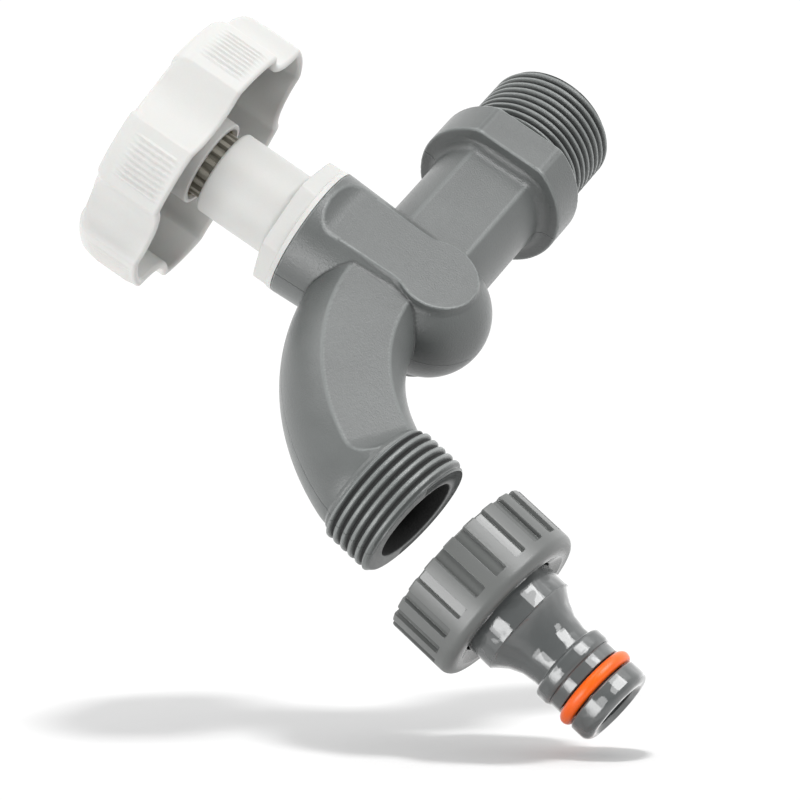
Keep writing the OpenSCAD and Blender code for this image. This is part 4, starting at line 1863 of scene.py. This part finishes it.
@dataclass(frozen=True)
class Inner:
    """Small parts inside the tap, which keep the frame's own shapes."""

    slots: Mapping[str, Slot] = field(default_factory=lambda: {
        "bonnet_ring": Slot.SEAL, "stem_ring_lower": Slot.SEAL, "stem_ring_upper": Slot.SEAL,
        "wheel_screw": Slot.STEEL, "screw_washer": Slot.STEEL, "valve_head": Slot.WHITE,
        "seat_disc": Slot.SEAL, "disc_washer": Slot.STEEL, "disc_screw": Slot.STEEL,
        "flat_seal": Slot.SEAL})

    def build(self, finishes: Finishes, nodes: Mapping[str, bpy.types.Object]) -> None:
        """Dresses the nodes.

        Args:
            finishes: The materials.
            nodes: Nodes of the frame by name.
        """
        for name, slot in self.slots.items():
            finishes.dress(nodes[name], slot)
            LOG.info("%s: dressed as %s", name, slot.value)


@dataclass(frozen=True)
class Lamp:
    """One soft light, hung round the tap. It lights the floor alone, or all but the floor."""

    name: str
    direction: Point
    power: float
    size: tuple[float, float]
    distance: float = 0.75
    floor_only: bool = False


@dataclass(frozen=True)
class Studio:
    """Pale floor, soft lights and the camera of the photograph."""

    lens: float = 154.8
    azimuth: float = -0.6720993
    elevation: float = -0.1256419
    roll: float = -0.9625919
    shift: tuple[float, float] = (0.1788, -20.1822)
    away: float = 650.85
    floor_far: float = 610.0
    floor_drop: float = 62.9
    floor_lean: float = 3.0
    floor_tones: tuple[float, float] = (0.71, 0.73)
    floor_glow: float = 0.12
    front_world: float = 0.2
    back_world: float = 1.6
    seen_world: float = 1.05
    aim: Point = (-0.05, 0.0, -0.01)
    lamps: tuple[Lamp, ...] = (
        Lamp("left", (-0.59, -0.38, 0.7), 4.1, (0.45, 0.45)),
        Lamp("right", (0.44, 0.64, 0.6), 4.6, (0.45, 0.45)),
        Lamp("top", (0.43, 0.88, 0.2), 0.5, (0.4, 0.4)),
        Lamp("back_left", (-0.5, 0.85, 0.2), 1.4, (0.4, 0.4)),
        Lamp("overhead", (0.0, 1.0, 0.0), 3.6, (0.12, 0.12), floor_only=True),
    )

    def axes(self) -> tuple[Vector, Vector, Vector]:
        """Right, up and back of the camera in the row frame.

        Returns:
            Three vectors of length one.
        """
        a, e = self.azimuth, self.elevation
        back = Vector((math.sin(a) * math.cos(e), -math.cos(a) * math.cos(e), math.sin(e)))
        right = (-back).cross(Vector((0, 0, 1))).normalized()
        up = right.cross(-back)
        c, s = math.cos(self.roll), math.sin(self.roll)
        return c * right + s * up, c * up - s * right, back

    def eye(self) -> Vector:
        """Where the camera stands, in millimetres.

        Returns:
            The place in the row frame.
        """
        right, up, back = self.axes()
        spot = self.shift[0] * right + self.shift[1] * up + self.away * back
        return spot + Vector((-PLAN.reach, 0, 0.4))

    def camera(self) -> None:
        """Stands the camera where the photograph was taken from."""
        data = bpy.data.cameras.new("camera")
        data.lens, data.sensor_width, data.clip_start, data.clip_end = self.lens, 36, 0.01, 50
        made = bpy.data.objects.new("camera", data)
        turn = Matrix(self.axes()).transposed()
        made.matrix_world = Matrix.Translation(self.eye() * MM) @ turn.to_4x4()
        bpy.context.scene.collection.objects.link(made)
        bpy.context.scene.camera = made

    def hang(self, lamp: Lamp, floor: bpy.types.Object) -> None:
        """Hangs one soft light.

        Args:
            lamp: The light, its direction being right, up and back as the camera sees it.
            floor: The floor.
        """
        way = sum((a * d for a, d in zip(self.axes(), lamp.direction)), Vector()).normalized()
        data = bpy.data.lights.new(lamp.name, "AREA")
        data.shape, data.energy = "RECTANGLE", lamp.power
        data.size, data.size_y = lamp.size
        made = bpy.data.objects.new(lamp.name, data)
        made.location = Vector(self.aim) + way * lamp.distance
        made.rotation_mode = "QUATERNION"
        made.rotation_quaternion = (-way).to_track_quat("-Z", "Y")
        bpy.context.scene.collection.objects.link(made)
        lit = bpy.data.collections.new(f"{lamp.name}_and_floor")
        lit.objects.link(floor)
        made.light_linking.receiver_collection = lit
        state = "INCLUDE" if lamp.floor_only else "EXCLUDE"
        lit.collection_objects[0].light_linking.link_state = state

    def floor(self) -> bpy.types.Object:
        """Lays the floor square to the photograph. It fades out at its edges and from below.

        Returns:
            The floor.
        """
        _, up, back = self.axes()
        lean = math.radians(self.floor_lean)
        normal = up * math.cos(lean) + back * math.sin(lean)
        front = back * math.cos(lean) - up * math.sin(lean)
        spot = (self.eye() - back * self.floor_far - up * self.floor_drop) * MM
        mesh = bpy.data.meshes.new("floor")
        mesh.from_pydata([(-1, -1, 0), (1, -1, 0), (1, 1, 0), (-1, 1, 0)], [], [(0, 1, 2, 3)])
        made = bpy.data.objects.new("floor", mesh)
        turn = Matrix((front.cross(-normal), -front, normal)).transposed()
        made.matrix_world = Matrix.Translation(spot) @ turn.to_4x4()
        bpy.context.scene.collection.objects.link(made)
        paint = Paint("pale_floor")
        dim, bright = self.floor_tones
        base = paint.mix(paint.noise(180, 3), (dim,) * 3, (bright,) * 3)
        paint.finish(base, 0.8, Emission_Strength=self.floor_glow, Specular_IOR_Level=0.1)
        paint.shader.inputs["Emission Color"].default_value = (1, 1, 1, 1)
        beside = (abs(paint.along("X")) / 120 - 1.6).held()
        ahead, behind = (paint.along("Y") / -25 - 0.4).held(), (paint.along("Y") / 150 - 1.2).held()
        under = Wire(paint, paint.node("ShaderNodeNewGeometry").outputs["Backfacing"])
        paint.fade((beside + ahead + behind + under).held())
        mesh.materials.append(paint.material)
        return made

    def world(self) -> None:
        """Lights the room evenly, brighter behind the tap than on the side of the camera."""
        world = bpy.data.worlds.new("room")
        world.use_nodes = True
        room = Paint.on(world.node_tree)
        back = self.axes()[2]
        way = room.node("ShaderNodeTexCoord").outputs["Generated"]
        facing = room.node("ShaderNodeVectorMath", {"operation": "DOT_PRODUCT"}, {0: way, 1: back})
        share = Wire(room, facing.outputs["Value"]) * 0.5 + 0.5
        level = self.back_world + (self.front_world - self.back_world) * share
        seen = Wire(room, room.node("ShaderNodeLightPath").outputs["Is Camera Ray"])
        level = level + (self.seen_world - level) * seen
        ground = world.node_tree.nodes["Background"]
        world.node_tree.links.new(level.socket, ground.inputs["Strength"])
        ground.inputs["Color"].default_value = (1, 1, 1, 1)
        bpy.context.scene.world = world
        bpy.context.scene.view_settings.view_transform = "Standard"

    def build(self) -> None:
        """Sets up the whole studio."""
        self.camera()
        self.world()
        floor = self.floor()
        for lamp in self.lamps:
            self.hang(lamp, floor)


def main() -> None:
    """Builds the tap on its frame, then the studio."""
    logging.basicConfig(level=logging.INFO, format="%(message)s")
    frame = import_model()
    finishes = Finishes.made()
    TapBody().build(finishes)
    Bonnet().build(finishes)
    Spindle().build(finishes)
    Handwheel().build(finishes)
    UnionNut().build(finishes)
    HoseNipple().build(finishes)
    Inner().build(finishes, frame["nodes"])
    Studio().build()


if __name__ == "__main__":
    main()
